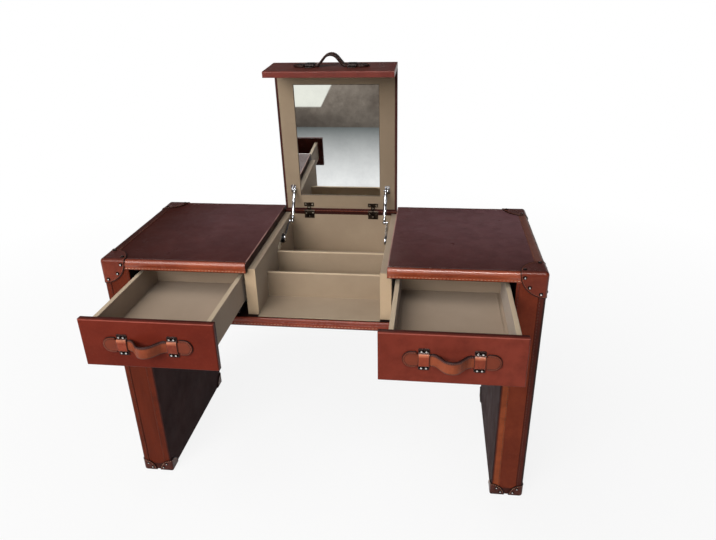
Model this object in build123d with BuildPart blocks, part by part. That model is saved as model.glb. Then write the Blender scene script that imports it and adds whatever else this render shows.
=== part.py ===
from build123d import *
import math
import os

# Leather-covered dressing table: two slab legs, two fixed tops, two drawers and a centre bay whose
# lid carries a mirror. Millimetres, +Z up, +Y to the back, X = 0 on the centre plane, floor at Z = 0.
# It stands with both drawers pulled out and the lid up; the origin is under the middle of that.

# ---------------------------------------------------------------- driving dimensions
case_width = 1200.0
case_depth = 490.0
case_height = 750.0
edge_radius = 8.0            # rounded outer edges of the covered case
soft_edge = 3.0              # small rounding of covered boards

top_thickness = 28.5
board_thickness = 27.5       # bottom board that carries drawers and bay
bay_height = 134.5           # bottom board to the underside of the tops
leg_thickness = 77.0
leg_lining_thickness = 15.5  # board that lines the inner face of a leg
leather_thickness = 3.0      # corner and foot caps, strap loops

bay_half_width = 190.0       # centre plane to the inner edge of a top
partition_inner = 170.0      # centre plane to the inner face of a partition
partition_thickness = 31.0
partition_step = 7.5         # partitions' upper ends below the back rail
lining_thickness = 1.5
back_thickness = 9.5         # panel behind bay and drawers
divider_thickness = 10.0
divider_front_height = 76.5
divider_rear_height = 87.0
divider_front_y = 135.5      # behind the case front, to the divider's middle
divider_rear_y = 265.0

lid_thickness = 15.0
lid_side_gap = 2.5           # lid edge to the tops
lid_seat_gap = 0.5           # closed lid over the back rail
fall_thickness = 17.0        # front fall of the lid
fall_gap = 12.0              # closed fall to the bottom board's upper face
fall_corner_radius = 9.0
lid_open_angle = 86.5
frame_thickness = 6.0        # lined frame around the mirror
frame_margin = 7.5           # covered rim left around the frame
mirror_half_width = 131.0
mirror_from_front = 65.0     # case front to the visible glass
mirror_rear_margin = 46.9    # width of the frame beside the hinges
mirror_thickness = 3.5
mirror_lap = 5.0             # glass hidden behind the frame's lip
mirror_clearance = 0.3

drawer_open = 272.0          # travel from closed to the stop
drawer_front_thickness = 16.0
drawer_gap = 1.5             # reveal beside and above a closed drawer front
drawer_front_lift = 6.0      # bottom board to a drawer front's lower edge
drawer_inner_gap = 9.5       # partition to box side
drawer_outer_gap = 12.5      # leg to box side
drawer_side_thickness = 12.5
drawer_box_lift = 36.0       # bottom board to the lower edge of the box sides
drawer_box_height = 79.0
drawer_box_length = 376.5
drawer_floor_thickness = 6.0
drawer_floor_lift = 7.0      # lower edge of the sides to the underside of the floor
groove_depth = 5.0

slide_length = 350.0
slide_start = 20.0           # case front to the front end of a slide
slide_inset = 20.0           # box side's inner face to the middle of a runner
slide_clearance = 0.3
rail_base_width = 30.0
rail_base_thickness = 2.5
rail_web = 4.0
rail_head_width = 16.0
rail_head_thickness = 4.0
runner_width = 26.0
runner_wall = 2.5
runner_plate = 3.5

handle_length = 222.0        # strap, tip to tip
strap_end_height = 41.0
strap_middle_height = 32.0
strap_neck_height = 28.0     # under the loops
strap_thickness = 5.0
strap_rise = 36.0            # covered face to the outside of the arch
strap_slope = 50.0           # steepest angle of the arch
strap_bend = 21.4            # bending radius of the arch's inner face, at foot and crown
loop_spacing = 124.0         # middle to middle of the two loops
loop_width = 26.0
loop_height = 56.0
loop_clearance = 0.2
nail_radius = 4.2
nail_dome = 2.6
nail_pitch = 11.0            # two nails side by side on a loop
nail_rows = 43.0             # upper to lower nails of a loop
drawer_handle_rise = 2.0     # middle of a drawer's opening to its handle

cap_radius = 70.0            # reach of a top corner cap from its corner
foot_cap_radius = 40.0
foot_edge_radius = 3.0       # bottom edges of the legs
cap_nail_reach = 60.0        # corner to the nails, along the cap's face
foot_nail_reach = 30.0

pin_offset = 0.8             # hinge pin middle in front of the back lining
pin_radius = 1.5
pin_clearance = 0.05
knuckle_radius = 3.2
knuckle_gap = 0.3            # between neighbouring knuckles, and round them in their notches
leaf_thickness = 1.5
hinge_x = 107.8
hinge_width = 33.5
hinge_neck = 13.0            # width of the lid leaf's neck and of the middle knuckle
hinge_leaf_length = 29.0
hinge_head_length = 13.0     # wide end of the lid leaf
screw_head_radius = 2.6
screw_head_height = 0.8

# Lid stays, with the lid up: pivots in front of and above the hinge pin.
stay_mount_ahead = 14.2      # on the lid
stay_mount_rise = 77.8
stay_knee_ahead = 69.2
stay_knee_rise = -12.2
stay_foot_ahead = 148.2      # on the partition
stay_foot_rise = -42.2
stay_tail_back = 52.0        # foot pivot to the far end of its bracket
stay_tail_drop = 10.0
stay_plate = 2.5
stay_arm_thickness = 4.0
stay_arm_height = 10.0
stay_gap = 0.4               # between parts that turn past each other
stay_knee_radius = 6.0
stay_hub_radius = 10.0
stay_hub_length = 6.0
stay_barrel_radius = 6.0
stay_barrel_length = 40.0
stay_rod_radius = 3.6
stay_pin_radius = 2.0
stay_eye_radius = 5.5
stay_tail_width = 16.0
stay_pad_length = 27.0
stay_pad_width = 16.0

# ---------------------------------------------------------------- derived places
handle_reach = strap_rise
front_y = (drawer_open + handle_reach - case_depth - leather_thickness) / 2
back_y = front_y + case_depth
half_width = case_width / 2
top_under = case_height - top_thickness
board_top = top_under - bay_height
board_under = board_top - board_thickness
foot_height = leather_thickness
leg_inner = half_width - leg_thickness
leg_lining_inner = leg_inner - leg_lining_thickness
lid_under = case_height - lid_thickness
back_rail_height = lid_under - lid_seat_gap
ledge_height = back_rail_height - partition_step
partition_outer = partition_inner + partition_thickness
lining_y = back_y - back_thickness - lining_thickness
partition_front_y = front_y + fall_thickness + 0.5
lid_half_width = bay_half_width - lid_side_gap
pin_y = lining_y - pin_offset
pin_z = lid_under - pin_offset
lid_back_y = pin_y - 1.8
fall_drop = case_height - board_top - fall_gap
mirror_from_y = front_y + mirror_from_front
mirror_to_y = lid_back_y - frame_margin - mirror_rear_margin
drawer_box_bottom = board_top + drawer_box_lift
drawer_box_inner = partition_outer + drawer_inner_gap
drawer_box_outer = leg_inner - drawer_outer_gap
drawer_floor_under = drawer_box_bottom + drawer_floor_lift
drawer_floor_top = drawer_floor_under + drawer_floor_thickness
drawer_front_from = lid_half_width + drawer_gap
drawer_front_to = leg_inner - drawer_gap
drawer_handle_height = (board_top + top_under) / 2 + drawer_handle_rise
lid_axis = Axis((0, pin_y, pin_z), (1, 0, 0))


# ---------------------------------------------------------------- helpers
def save(piece, name):
    """Labels a finished piece and writes it as parts/NAME.step."""
    piece.label = name
    export_step(piece, f"parts/{name}.step")


def opened_lid(piece):
    """Swings a piece made in the closed position to the open lid."""
    return piece.rotate(lid_axis, -lid_open_angle)


def opened_drawer(piece):
    """Draws a piece made in the closed position out with its drawer."""
    return Pos(0, -drawer_open, 0) * piece


def board(x_from, x_to, y_from, y_to, z_from, z_to):
    """A square-edged board between three pairs of faces."""
    with BuildPart() as plain:
        with BuildSketch(Plane.XY.offset(z_from)):
            with Locations(((x_from + x_to) / 2, (y_from + y_to) / 2)):
                Rectangle(abs(x_to - x_from), y_to - y_from)
        extrude(amount=z_to - z_from)
    return plain.part


def corner_block(reach, radius, bottom_radius):
    """A block with one rounded corner at the origin, filling +X, +Y and -Z.

    radius rounds its upright edge and bottom_radius its two level edges.
    """
    with BuildPart() as block:
        Box(reach, reach, reach, align=(Align.MIN, Align.MIN, Align.MAX))
        upright = block.edges().filter_by(Axis.Z).sort_by(Axis.X)[:2].sort_by(Axis.Y)[0]
        fillet(upright, radius)
        level = block.faces().sort_by(Axis.Z)[-1].edges()
        rounded = level.filter_by(Axis.X).sort_by(Axis.Y)[0:1]
        rounded += level.filter_by(Axis.Y).sort_by(Axis.X)[0:1]
        rounded += level.filter_by(GeomType.CIRCLE)
        fillet(rounded, bottom_radius)
    return block.part


def corner_cap(cap_reach, radius, level_radius):
    """A leather cap over a rounded corner at the origin, the case filling +X, +Y and -Z."""
    outside = corner_block(
        2 * cap_reach, radius + leather_thickness, level_radius + leather_thickness
    )
    skin = leather_thickness
    with BuildPart() as cap:
        Sphere(cap_reach)
        add(Pos(-skin, -skin, skin) * outside, mode=Mode.INTERSECT)
        add(corner_block(2 * cap_reach, radius, level_radius), mode=Mode.SUBTRACT)
    return cap.part


def dome_nail():
    """A domed nail head standing on the origin, along +Z."""
    ball = (nail_radius**2 + nail_dome**2) / (2 * nail_dome)
    with BuildPart() as nail:
        with BuildSketch(Plane.XZ) as profile:
            with Locations((0, nail_dome - ball)):
                Circle(ball)
            with Locations((0, 0)):
                Rectangle(nail_radius, nail_dome, align=(Align.MIN, Align.MIN), mode=Mode.INTERSECT)
        revolve(axis=Axis.Z)
    return nail.part


def group(pieces):
    """Separate solids that share one node."""
    return Compound(children=list(pieces))


def nails_at(planes):
    """One nail head on each plane's origin."""
    return group(plane.location * dome_nail() for plane in planes)


# ---------------------------------------------------------------- case
def leg(side):
    with BuildPart() as slab:
        with BuildSketch(Plane.XY.offset(foot_height)):
            with Locations((side * (half_width + leg_inner) / 2, (front_y + back_y) / 2)):
                Rectangle(leg_thickness, case_depth)
        extrude(amount=top_under - foot_height)
        outer = slab.edges().filter_by(Axis.Z).sort_by(Axis.X)
        fillet(outer[-2:] if side > 0 else outer[:2], edge_radius)
        under = slab.faces().sort_by(Axis.Z)[0].edges()
        inner_edge = under.filter_by(Axis.Y).sort_by(Axis.X)[0 if side > 0 else -1]
        fillet(under - [inner_edge], foot_edge_radius)
    return slab.part


def leg_lining(side):
    with BuildPart() as lining:
        with BuildSketch(Plane.XY.offset(foot_height)):
            with Locations((side * (leg_inner + leg_lining_inner) / 2, (front_y + back_y) / 2)):
                Rectangle(leg_lining_thickness, case_depth)
        extrude(amount=board_under - foot_height)
        inner = lining.edges().filter_by(Axis.Z).sort_by(Axis.X)
        fillet(inner[:2] if side > 0 else inner[-2:], foot_edge_radius)
        under = lining.faces().sort_by(Axis.Z)[0].edges()
        outer_edge = under.filter_by(Axis.Y).sort_by(Axis.X)[-1 if side > 0 else 0]
        fillet(under - [outer_edge], foot_edge_radius)
    return lining.part


def top(side):
    with BuildPart() as panel:
        with BuildSketch(Plane.XY.offset(top_under)):
            with Locations((side * (half_width + bay_half_width) / 2, (front_y + back_y) / 2)):
                Rectangle(half_width - bay_half_width, case_depth)
        extrude(amount=top_thickness)
        outer = panel.edges().filter_by(Axis.Z).sort_by(Axis.X)
        fillet(outer[-2:] if side > 0 else outer[:2], edge_radius)
        rim = panel.faces().sort_by(Axis.Z)[-1].edges()
        inner_edge = rim.filter_by(Axis.Y).sort_by(Axis.X)[0 if side > 0 else -1]
        fillet(rim - [inner_edge], edge_radius)
    return panel.part


def bottom_board():
    with BuildPart() as panel:
        with BuildSketch(Plane.XY.offset(board_under)):
            with Locations((0, (front_y + back_y) / 2)):
                Rectangle(2 * leg_inner, case_depth)
        extrude(amount=board_thickness)
        front = panel.edges().filter_by(Axis.X).group_by(Axis.Y)[0]
        fillet(front.sort_by(Axis.Z)[-1], 2 * soft_edge)
        fillet(panel.edges().filter_by(Axis.X).group_by(Axis.Z)[0].sort_by(Axis.Y)[0], soft_edge)
    return panel.part


def partition(side):
    rebate = partition_outer - bay_half_width
    with BuildPart() as wall:
        with BuildSketch(Plane.XZ.offset(-partition_front_y)):
            with Locations((side * (partition_inner + partition_outer) / 2, board_top)):
                Rectangle(partition_thickness, ledge_height - board_top, align=(Align.CENTER, Align.MIN))
            with Locations((side * (partition_outer - rebate / 2), top_under)):
                Rectangle(
                    rebate, ledge_height - top_under, align=(Align.CENTER, Align.MIN), mode=Mode.SUBTRACT
                )
        extrude(amount=-(lining_y - partition_front_y))
    return wall.part


def back_rail():
    depth = back_y - lining_y
    with BuildPart() as rail:
        with BuildSketch(Plane.XY.offset(top_under)):
            with Locations((0, (back_y + lining_y) / 2)):
                Rectangle(2 * bay_half_width, depth)
        extrude(amount=back_rail_height - top_under)
        with BuildSketch(Plane.XY.offset(pin_z - knuckle_radius - knuckle_gap)):
            with Locations((-hinge_x, lining_y), (hinge_x, lining_y)):
                Rectangle(hinge_width + 2 * knuckle_gap, 2 * notch_depth())
        extrude(amount=top_thickness, mode=Mode.SUBTRACT)
    return rail.part


def notch_depth():
    """How far a knuckle, with its gap, reaches behind the lining."""
    return knuckle_radius + knuckle_gap - pin_offset


def divider(y_middle, height):
    half = divider_thickness / 2
    z_from = board_top + lining_thickness
    with BuildPart() as wall:
        with BuildSketch(Plane.XY.offset(z_from)):
            with Locations((0, front_y + y_middle)):
                Rectangle(2 * partition_inner, 2 * half)
        extrude(amount=height)
        fillet(wall.faces().sort_by(Axis.Z)[-1].edges().filter_by(Axis.X), lining_thickness)
    return wall.part


def slide_rail(x):
    """T-section steel rail on the bottom board."""
    z_base = board_top
    z_head = drawer_floor_under - runner_plate - slide_clearance - rail_head_thickness
    with BuildPart() as rail:
        with BuildSketch(Plane.XZ.offset(-(front_y + slide_start))):
            with Locations((x, z_base)):
                Rectangle(rail_base_width, rail_base_thickness, align=(Align.CENTER, Align.MIN))
                Rectangle(rail_web, z_head - z_base + rail_head_thickness, align=(Align.CENTER, Align.MIN))
            with Locations((x, z_head)):
                Rectangle(rail_head_width, rail_head_thickness, align=(Align.CENTER, Align.MIN))
        extrude(amount=-slide_length)
    return rail.part


def runner(x):
    """C-section steel runner under a drawer floor, closed round the rail's head."""
    cavity = rail_head_thickness + 2 * slide_clearance
    height = runner_plate + cavity + runner_wall
    slot = rail_web + 4 * slide_clearance
    with BuildPart() as channel:
        with BuildSketch(Plane.XZ.offset(-(front_y + slide_start))):
            with Locations((x, drawer_floor_under)):
                Rectangle(runner_width, height, align=(Align.CENTER, Align.MAX))
            with Locations((x, drawer_floor_under - runner_plate)):
                Rectangle(
                    rail_head_width + 4 * slide_clearance,
                    cavity,
                    align=(Align.CENTER, Align.MAX),
                    mode=Mode.SUBTRACT,
                )
                Rectangle(slot, height, align=(Align.CENTER, Align.MAX), mode=Mode.SUBTRACT)
        extrude(amount=-slide_length)
    return channel.part


def runner_places(side):
    inner = drawer_box_inner + drawer_side_thickness + slide_inset
    outer = drawer_box_outer - drawer_side_thickness - slide_inset
    return [side * inner, side * outer]


def placed_cap(cap, x_side, y_side, x_corner, z_corner, upright):
    """Carries a cap from the origin to a corner of the case, mirrored as that corner is."""
    if x_side > 0:
        cap = mirror(cap, about=Plane.YZ)
    if y_side > 0:
        cap = mirror(cap, about=Plane.XZ)
    if not upright:
        cap = mirror(cap, about=Plane.XY)
    y_corner = back_y if y_side > 0 else front_y
    return Pos(x_corner, y_corner, z_corner) * cap


def corner_caps():
    cap = corner_cap(cap_radius, edge_radius, edge_radius)
    corners = [(x, y) for x in (-1, 1) for y in (-1, 1)]
    return group(
        placed_cap(cap, x, y, x * half_width, case_height, True) for x, y in corners
    )


def foot_caps():
    outer = corner_cap(foot_cap_radius, edge_radius, foot_edge_radius)
    inner = corner_cap(foot_cap_radius, foot_edge_radius, foot_edge_radius)
    caps = []
    for x in (-1, 1):
        for y in (-1, 1):
            caps.append(placed_cap(outer, x, y, x * half_width, foot_height, False))
            caps.append(placed_cap(inner, -x, y, x * leg_lining_inner, foot_height, False))
    return group(caps)


def cap_nails():
    """Three nails on each upright face and one on the top of a corner cap, two on a foot cap."""
    planes = []
    for y_side, y_face in ((-1, front_y - leather_thickness), (1, back_y + leather_thickness)):
        for x_side in (-1, 1):
            for angle in (12, 42, 76):
                along = cap_nail_reach * math.cos(math.radians(angle))
                down = cap_nail_reach * math.sin(math.radians(angle))
                at = (x_side * (half_width - along), y_face, case_height - down)
                planes.append(Plane(origin=at, z_dir=(0, y_side, 0)))
                y_at = y_face - y_side * (leather_thickness + along)
                side_at = (x_side * (half_width + leather_thickness), y_at, case_height - down)
                planes.append(Plane(origin=side_at, z_dir=(x_side, 0, 0)))
            reach = cap_nail_reach * math.cos(math.radians(76))
            far = cap_nail_reach * math.sin(math.radians(76))
            for x_in, y_in in ((far, reach), (reach, far)):
                y_at = y_face - y_side * (leather_thickness + y_in)
                at = (x_side * (half_width - x_in), y_at, case_height + leather_thickness)
                planes.append(Plane(origin=at, z_dir=(0, 0, 1)))
            for x_corner, inward in ((half_width, -1), (leg_lining_inner, 1)):
                for angle in (22, 58):
                    along = foot_nail_reach * math.cos(math.radians(angle))
                    up = foot_height + foot_nail_reach * math.sin(math.radians(angle))
                    at = (x_side * (x_corner + inward * along), y_face, up)
                    planes.append(Plane(origin=at, z_dir=(0, y_side, 0)))
    return nails_at(planes)


# ---------------------------------------------------------------- handle, made on a face at y = 0
def strap(x, y, z):
    """Leather strap, flat at both ends and arched outwards in the middle."""
    slope = math.radians(strap_slope)
    apex = strap_rise - strap_thickness + strap_bend * (1 / math.cos(slope) - 1)
    foot = apex / math.tan(slope)
    half_end = strap_end_height / 2
    waist = strap_end_height - strap_middle_height
    neck = strap_end_height - strap_neck_height
    half_loops = loop_spacing / 2
    with BuildPart() as leather:
        with BuildSketch(Plane.XY.offset(z - half_end)):
            with BuildLine(Plane((x, y, z - half_end))) as section:
                inner_face = FilletPolyline(
                    (-handle_length / 2, 0),
                    (-foot, 0),
                    (0, -apex),
                    (foot, 0),
                    (handle_length / 2, 0),
                    radius=strap_bend,
                )
                offset(inner_face, amount=strap_thickness, side=Side.RIGHT)
            make_face()
        extrude(amount=strap_end_height)
        with BuildSketch(Plane((x, y, z), x_dir=(1, 0, 0), z_dir=(0, -1, 0))):
            SlotOverall(handle_length, strap_end_height)
            with Locations((0, half_end), (0, -half_end)):
                Rectangle(loop_spacing + loop_width, waist, mode=Mode.SUBTRACT)
            with GridLocations(2 * half_loops, strap_end_height, 2, 2):
                Rectangle(loop_width + 2 * soft_edge, neck, mode=Mode.SUBTRACT)
        extrude(amount=2 * strap_rise, both=True, mode=Mode.INTERSECT)
    return leather.part


def strap_loops(x, y, z):
    """Two leather loops that hold the strap down, each nailed above and below it."""
    inside = strap_thickness + loop_clearance
    half_neck = strap_neck_height / 2 + loop_clearance
    half = loop_height / 2
    skin = leather_thickness
    made = []
    for at in (x - loop_spacing / 2, x + loop_spacing / 2):
        with BuildPart() as loop:
            with BuildSketch(Plane((at - loop_width / 2, y, z), x_dir=(0, -1, 0), z_dir=(1, 0, 0))):
                Rectangle(skin, 2 * half, align=(Align.MIN, Align.CENTER))
                Rectangle(inside + skin, 2 * (half_neck + skin), align=(Align.MIN, Align.CENTER))
                Rectangle(inside, 2 * half_neck, align=(Align.MIN, Align.CENTER), mode=Mode.SUBTRACT)
            extrude(amount=loop_width)
            outer = loop.edges().filter_by(Axis.X).group_by(Axis.Y)[0]
            fillet(outer, skin - loop_clearance)
        made.append(loop.part)
    return group(made)


def strap_nails(x, y, z):
    planes = []
    for loop_x in (x - loop_spacing / 2, x + loop_spacing / 2):
        for dx in (-nail_pitch / 2, nail_pitch / 2):
            for dz in (-nail_rows / 2, nail_rows / 2):
                at = (loop_x + dx, y - leather_thickness, z + dz)
                planes.append(Plane(origin=at, z_dir=(0, -1, 0)))
    return nails_at(planes)


# ---------------------------------------------------------------- drawers, made closed
def drawer_front(side):
    x_from, x_to = drawer_front_from, drawer_front_to
    z_from = board_top + drawer_front_lift
    z_to = top_under - drawer_gap
    with BuildPart() as front:
        with BuildSketch(Plane.XZ.offset(-front_y)):
            with Locations((side * (x_from + x_to) / 2, (z_from + z_to) / 2)):
                Rectangle(x_to - x_from, z_to - z_from)
        extrude(amount=-drawer_front_thickness)
        fillet(front.faces().sort_by(Axis.Y)[0].edges(), soft_edge)
    return front.part


def drawer_side(side, outer):
    x_face = drawer_box_outer if outer else drawer_box_inner
    x_in = x_face - drawer_side_thickness if outer else x_face + drawer_side_thickness
    x_groove = x_in + groove_depth if outer else x_in - groove_depth
    y_from = front_y + drawer_front_thickness
    with BuildPart() as wall:
        with BuildSketch(Plane.XZ.offset(-y_from)):
            with Locations((side * (x_face + x_in) / 2, drawer_box_bottom)):
                Rectangle(drawer_side_thickness, drawer_box_height, align=(Align.CENTER, Align.MIN))
            with Locations((side * (x_in + x_groove) / 2, drawer_floor_under)):
                Rectangle(
                    groove_depth, drawer_floor_thickness, align=(Align.CENTER, Align.MIN), mode=Mode.SUBTRACT
                )
        extrude(amount=-drawer_box_length)
        crest = wall.faces().sort_by(Axis.Z)[-1].edges().filter_by(Axis.Y)
        fillet(crest, lining_thickness)
    return wall.part


def drawer_back(side):
    x_from = drawer_box_inner + drawer_side_thickness
    x_to = drawer_box_outer - drawer_side_thickness
    y_to = front_y + drawer_front_thickness + drawer_box_length
    z_to = drawer_box_bottom + drawer_box_height
    with BuildPart() as back:
        with BuildSketch(Plane.XY.offset(drawer_floor_top)):
            with Locations((side * (x_from + x_to) / 2, y_to - drawer_side_thickness / 2)):
                Rectangle(x_to - x_from, drawer_side_thickness)
        extrude(amount=z_to - drawer_floor_top)
        fillet(back.faces().sort_by(Axis.Z)[-1].edges().filter_by(Axis.X), lining_thickness)
    return back.part


def drawer_floor(side):
    x_from = drawer_box_inner + drawer_side_thickness - groove_depth
    x_to = drawer_box_outer - drawer_side_thickness + groove_depth
    y_from = front_y + drawer_front_thickness
    z_from = drawer_floor_under
    y_to = y_from + drawer_box_length
    return board(side * x_from, side * x_to, y_from, y_to, z_from, z_from + drawer_floor_thickness)


# ---------------------------------------------------------------- lid, made closed
def lid_panel():
    recess_half = lid_half_width - frame_margin
    y_from = front_y + fall_thickness
    with BuildPart() as panel:
        with BuildSketch(Plane.XY.offset(lid_under)):
            with Locations((0, (y_from + lid_back_y) / 2)):
                Rectangle(2 * lid_half_width, lid_back_y - y_from)
        extrude(amount=lid_thickness)
        with BuildSketch(Plane.XY.offset(lid_under)):
            with Locations((0, (y_from + lid_back_y - frame_margin) / 2)):
                Rectangle(2 * recess_half, lid_back_y - frame_margin - y_from)
        extrude(amount=frame_thickness, mode=Mode.SUBTRACT)
        with BuildSketch(Plane.XY.offset(lid_under)):
            with Locations((-hinge_x, lid_back_y), (hinge_x, lid_back_y)):
                Rectangle(hinge_width + 2 * knuckle_gap, 2 * (knuckle_radius + knuckle_gap - 1.8))
        extrude(amount=knuckle_radius + knuckle_gap - pin_offset, mode=Mode.SUBTRACT)
        fillet(panel.edges().filter_by(Axis.X).group_by(Axis.Z)[-1].sort_by(Axis.Y)[-1], soft_edge)
    return panel.part


def lid_fall():
    with BuildPart() as fall:
        with BuildSketch(Plane.XZ.offset(-front_y)):
            with Locations((0, case_height)):
                Rectangle(2 * lid_half_width, fall_drop, align=(Align.CENTER, Align.MAX))
        extrude(amount=-fall_thickness)
        front = fall.faces().sort_by(Axis.Y)[0].edges().filter_by(Axis.X).sort_by(Axis.Z)
        fillet(front[-1], fall_corner_radius)
        fillet(fall.faces().sort_by(Axis.Y)[0].edges().filter_by(Axis.X).sort_by(Axis.Z)[0], soft_edge)
    return fall.part


def fall_lining():
    z_from = case_height - fall_drop + frame_margin
    with BuildPart() as lining:
        with BuildSketch(Plane.XZ.offset(-(front_y + fall_thickness))):
            with Locations((0, z_from)):
                Rectangle(
                    2 * (partition_inner - lid_side_gap),
                    lid_under - z_from,
                    align=(Align.CENTER, Align.MIN),
                )
        extrude(amount=-lining_thickness)
    return lining.part


def lid_frame():
    half = lid_half_width - frame_margin
    y_from = front_y + fall_thickness
    y_to = lid_back_y - frame_margin
    glass_y = (mirror_from_y + mirror_to_y) / 2
    glass_length = mirror_to_y - mirror_from_y
    lap = mirror_lap
    with BuildPart() as frame:
        with BuildSketch(Plane.XY.offset(lid_under)):
            with Locations((0, (y_from + y_to) / 2)):
                Rectangle(2 * half, y_to - y_from)
            with Locations((0, glass_y)):
                Rectangle(2 * mirror_half_width, glass_length, mode=Mode.SUBTRACT)
        extrude(amount=frame_thickness)
        with BuildSketch(Plane.XY.offset(lid_under + frame_thickness - mirror_thickness)):
            with Locations((0, glass_y)):
                Rectangle(2 * (mirror_half_width + lap), glass_length + 2 * lap)
        extrude(amount=mirror_thickness, mode=Mode.SUBTRACT)
        opening = frame.faces().sort_by(Axis.Z)[0].inner_wires()[0].edges()
        chamfer(opening, lining_thickness)
    return frame.part


def lid_mirror():
    lap = mirror_lap - mirror_clearance
    glass_y = (mirror_from_y + mirror_to_y) / 2
    glass_length = mirror_to_y - mirror_from_y
    with BuildPart() as mirror_glass:
        with BuildSketch(Plane.XY.offset(lid_under + frame_thickness - mirror_thickness)):
            with Locations((0, glass_y)):
                Rectangle(2 * (mirror_half_width + lap), glass_length + 2 * lap)
        extrude(amount=mirror_thickness)
    return mirror_glass.part


# ---------------------------------------------------------------- hinges
def case_leaf(x):
    """Fixed leaf: a plate on the back lining with a knuckle at each end."""
    half = hinge_width / 2
    inner = hinge_neck / 2 + knuckle_gap
    with BuildPart() as leaf:
        with BuildSketch(Plane.XZ.offset(-lining_y)):
            with Locations((x, pin_z - knuckle_radius - knuckle_gap)):
                Rectangle(hinge_width, hinge_leaf_length - 2 * knuckle_radius, align=(Align.CENTER, Align.MAX))
            with Locations((x - (half + inner) / 2, pin_z), (x + (half + inner) / 2, pin_z)):
                Rectangle(half - inner, hinge_leaf_length / 2, align=(Align.CENTER, Align.MAX))
        extrude(amount=leaf_thickness)
        with BuildSketch(Plane.YZ.offset(x - half)):
            with Locations((pin_y, pin_z)):
                Circle(knuckle_radius)
        extrude(amount=hinge_width)
        with BuildSketch(Plane.YZ.offset(x - inner)):
            with Locations((pin_y, pin_z)):
                Circle(knuckle_radius + knuckle_gap)
        extrude(amount=2 * inner, mode=Mode.SUBTRACT)
        with BuildSketch(Plane.YZ.offset(x - half)):
            with Locations((pin_y, pin_z)):
                Circle(pin_radius)
        extrude(amount=hinge_width, mode=Mode.SUBTRACT)
    return leaf.part


def lid_leaf(x):
    """Moving leaf, closed: a wide head and a neck under the lid, with the middle knuckle."""
    head_y = pin_y - hinge_leaf_length + hinge_head_length / 2
    with BuildPart() as leaf:
        with BuildSketch(Plane.XY.offset(lid_under - leaf_thickness)):
            with Locations((x, head_y)):
                Rectangle(hinge_width, hinge_head_length)
            with Locations((x, pin_y)):
                Rectangle(hinge_neck, hinge_leaf_length - 1, align=(Align.CENTER, Align.MAX))
        extrude(amount=leaf_thickness)
        with BuildSketch(Plane.YZ.offset(x - hinge_neck / 2)):
            with Locations((pin_y, pin_z)):
                Circle(knuckle_radius)
        extrude(amount=hinge_neck)
        with BuildSketch(Plane.YZ.offset(x - hinge_neck / 2)):
            with Locations((pin_y, pin_z)):
                Circle(pin_radius + pin_clearance)
        extrude(amount=hinge_neck, mode=Mode.SUBTRACT)
    return leaf.part


def hinge_pin(x):
    with BuildPart() as pin:
        with BuildSketch(Plane.YZ.offset(x - hinge_width / 2)):
            with Locations((pin_y, pin_z)):
                Circle(pin_radius)
        extrude(amount=hinge_width)
    return pin.part


def screw_head():
    """A low slotted screw head standing on the origin, along +Z."""
    with BuildPart() as head:
        with BuildSketch(Plane.XY):
            Circle(screw_head_radius)
        extrude(amount=screw_head_height)
        chamfer(head.faces().sort_by(Axis.Z)[-1].edges(), screw_head_height / 2)
        with BuildSketch(Plane.XY.offset(screw_head_height)):
            Rectangle(2 * screw_head_radius, screw_head_radius / 4)
        extrude(amount=-screw_head_height / 2, mode=Mode.SUBTRACT)
    return head.part


def case_screws():
    """Three screws in each fixed hinge leaf and two in each stay bracket."""
    planes = []
    for x in (-hinge_x, hinge_x):
        for dx, drop in ((-11, 9), (11, 9), (0, 19)):
            at = (x + dx, lining_y - leaf_thickness, pin_z - drop)
            planes.append(Plane(origin=at, z_dir=(0, -1, 0)))
    for side in (-1, 1):
        length, face = towards(foot_at, stay_tail, side * (partition_inner - stay_plate))
        for along in (length - 20, length):
            at = face.from_local_coords((along, 0, 0))
            planes.append(Plane(origin=at, z_dir=(-side, 0, 0)))
    return group(plane.location * screw_head() for plane in planes)


def lid_screws():
    """Three screws in each moving hinge leaf and two in each stay mount (made closed)."""
    planes = []
    for x in (-hinge_x, hinge_x):
        for dx, ahead in ((-11, 22.5), (11, 22.5), (0, 12)):
            at = (x + dx, pin_y - ahead, lid_under - leaf_thickness)
            planes.append(Plane(origin=at, z_dir=(0, 0, -1)))
    for side in (-1, 1):
        for dy in (-9.5, 9.5):
            at = (side * lug_face, mount_y + dy, lid_under - stay_plate)
            planes.append(Plane(origin=at, z_dir=(0, 0, -1)))
    return group(plane.location * screw_head() for plane in planes)


# ---------------------------------------------------------------- lid stays, made with the lid up
mount_at = (pin_y - stay_mount_ahead, pin_z + stay_mount_rise)
knee_at = (pin_y - stay_knee_ahead, pin_z + stay_knee_rise)
foot_at = (pin_y - stay_foot_ahead, pin_z + stay_foot_rise)
arm_outer = partition_inner - stay_plate - stay_hub_length
arm_inner = arm_outer - stay_arm_thickness
link_middle = arm_inner - stay_gap - stay_knee_radius
lug_face = link_middle + stay_eye_radius - 1 + stay_gap
stay_tail = (foot_at[0] - stay_tail_back, foot_at[1] - stay_tail_drop)
swing = math.radians(lid_open_angle)
mount_ahead = mount_at[0] - pin_y
mount_above = mount_at[1] - pin_z
mount_y = pin_y + mount_ahead * math.cos(swing) - mount_above * math.sin(swing)
mount_z = pin_z + mount_ahead * math.sin(swing) + mount_above * math.cos(swing)


def towards(start, end, x):
    """Distance between two pivots, and a Y-Z plane at x whose own x runs from one to the other."""
    run = end[0] - start[0]
    rise = end[1] - start[1]
    return math.hypot(run, rise), Plane(origin=(x, *start), x_dir=(0, run, rise), z_dir=(1, 0, 0))


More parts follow.
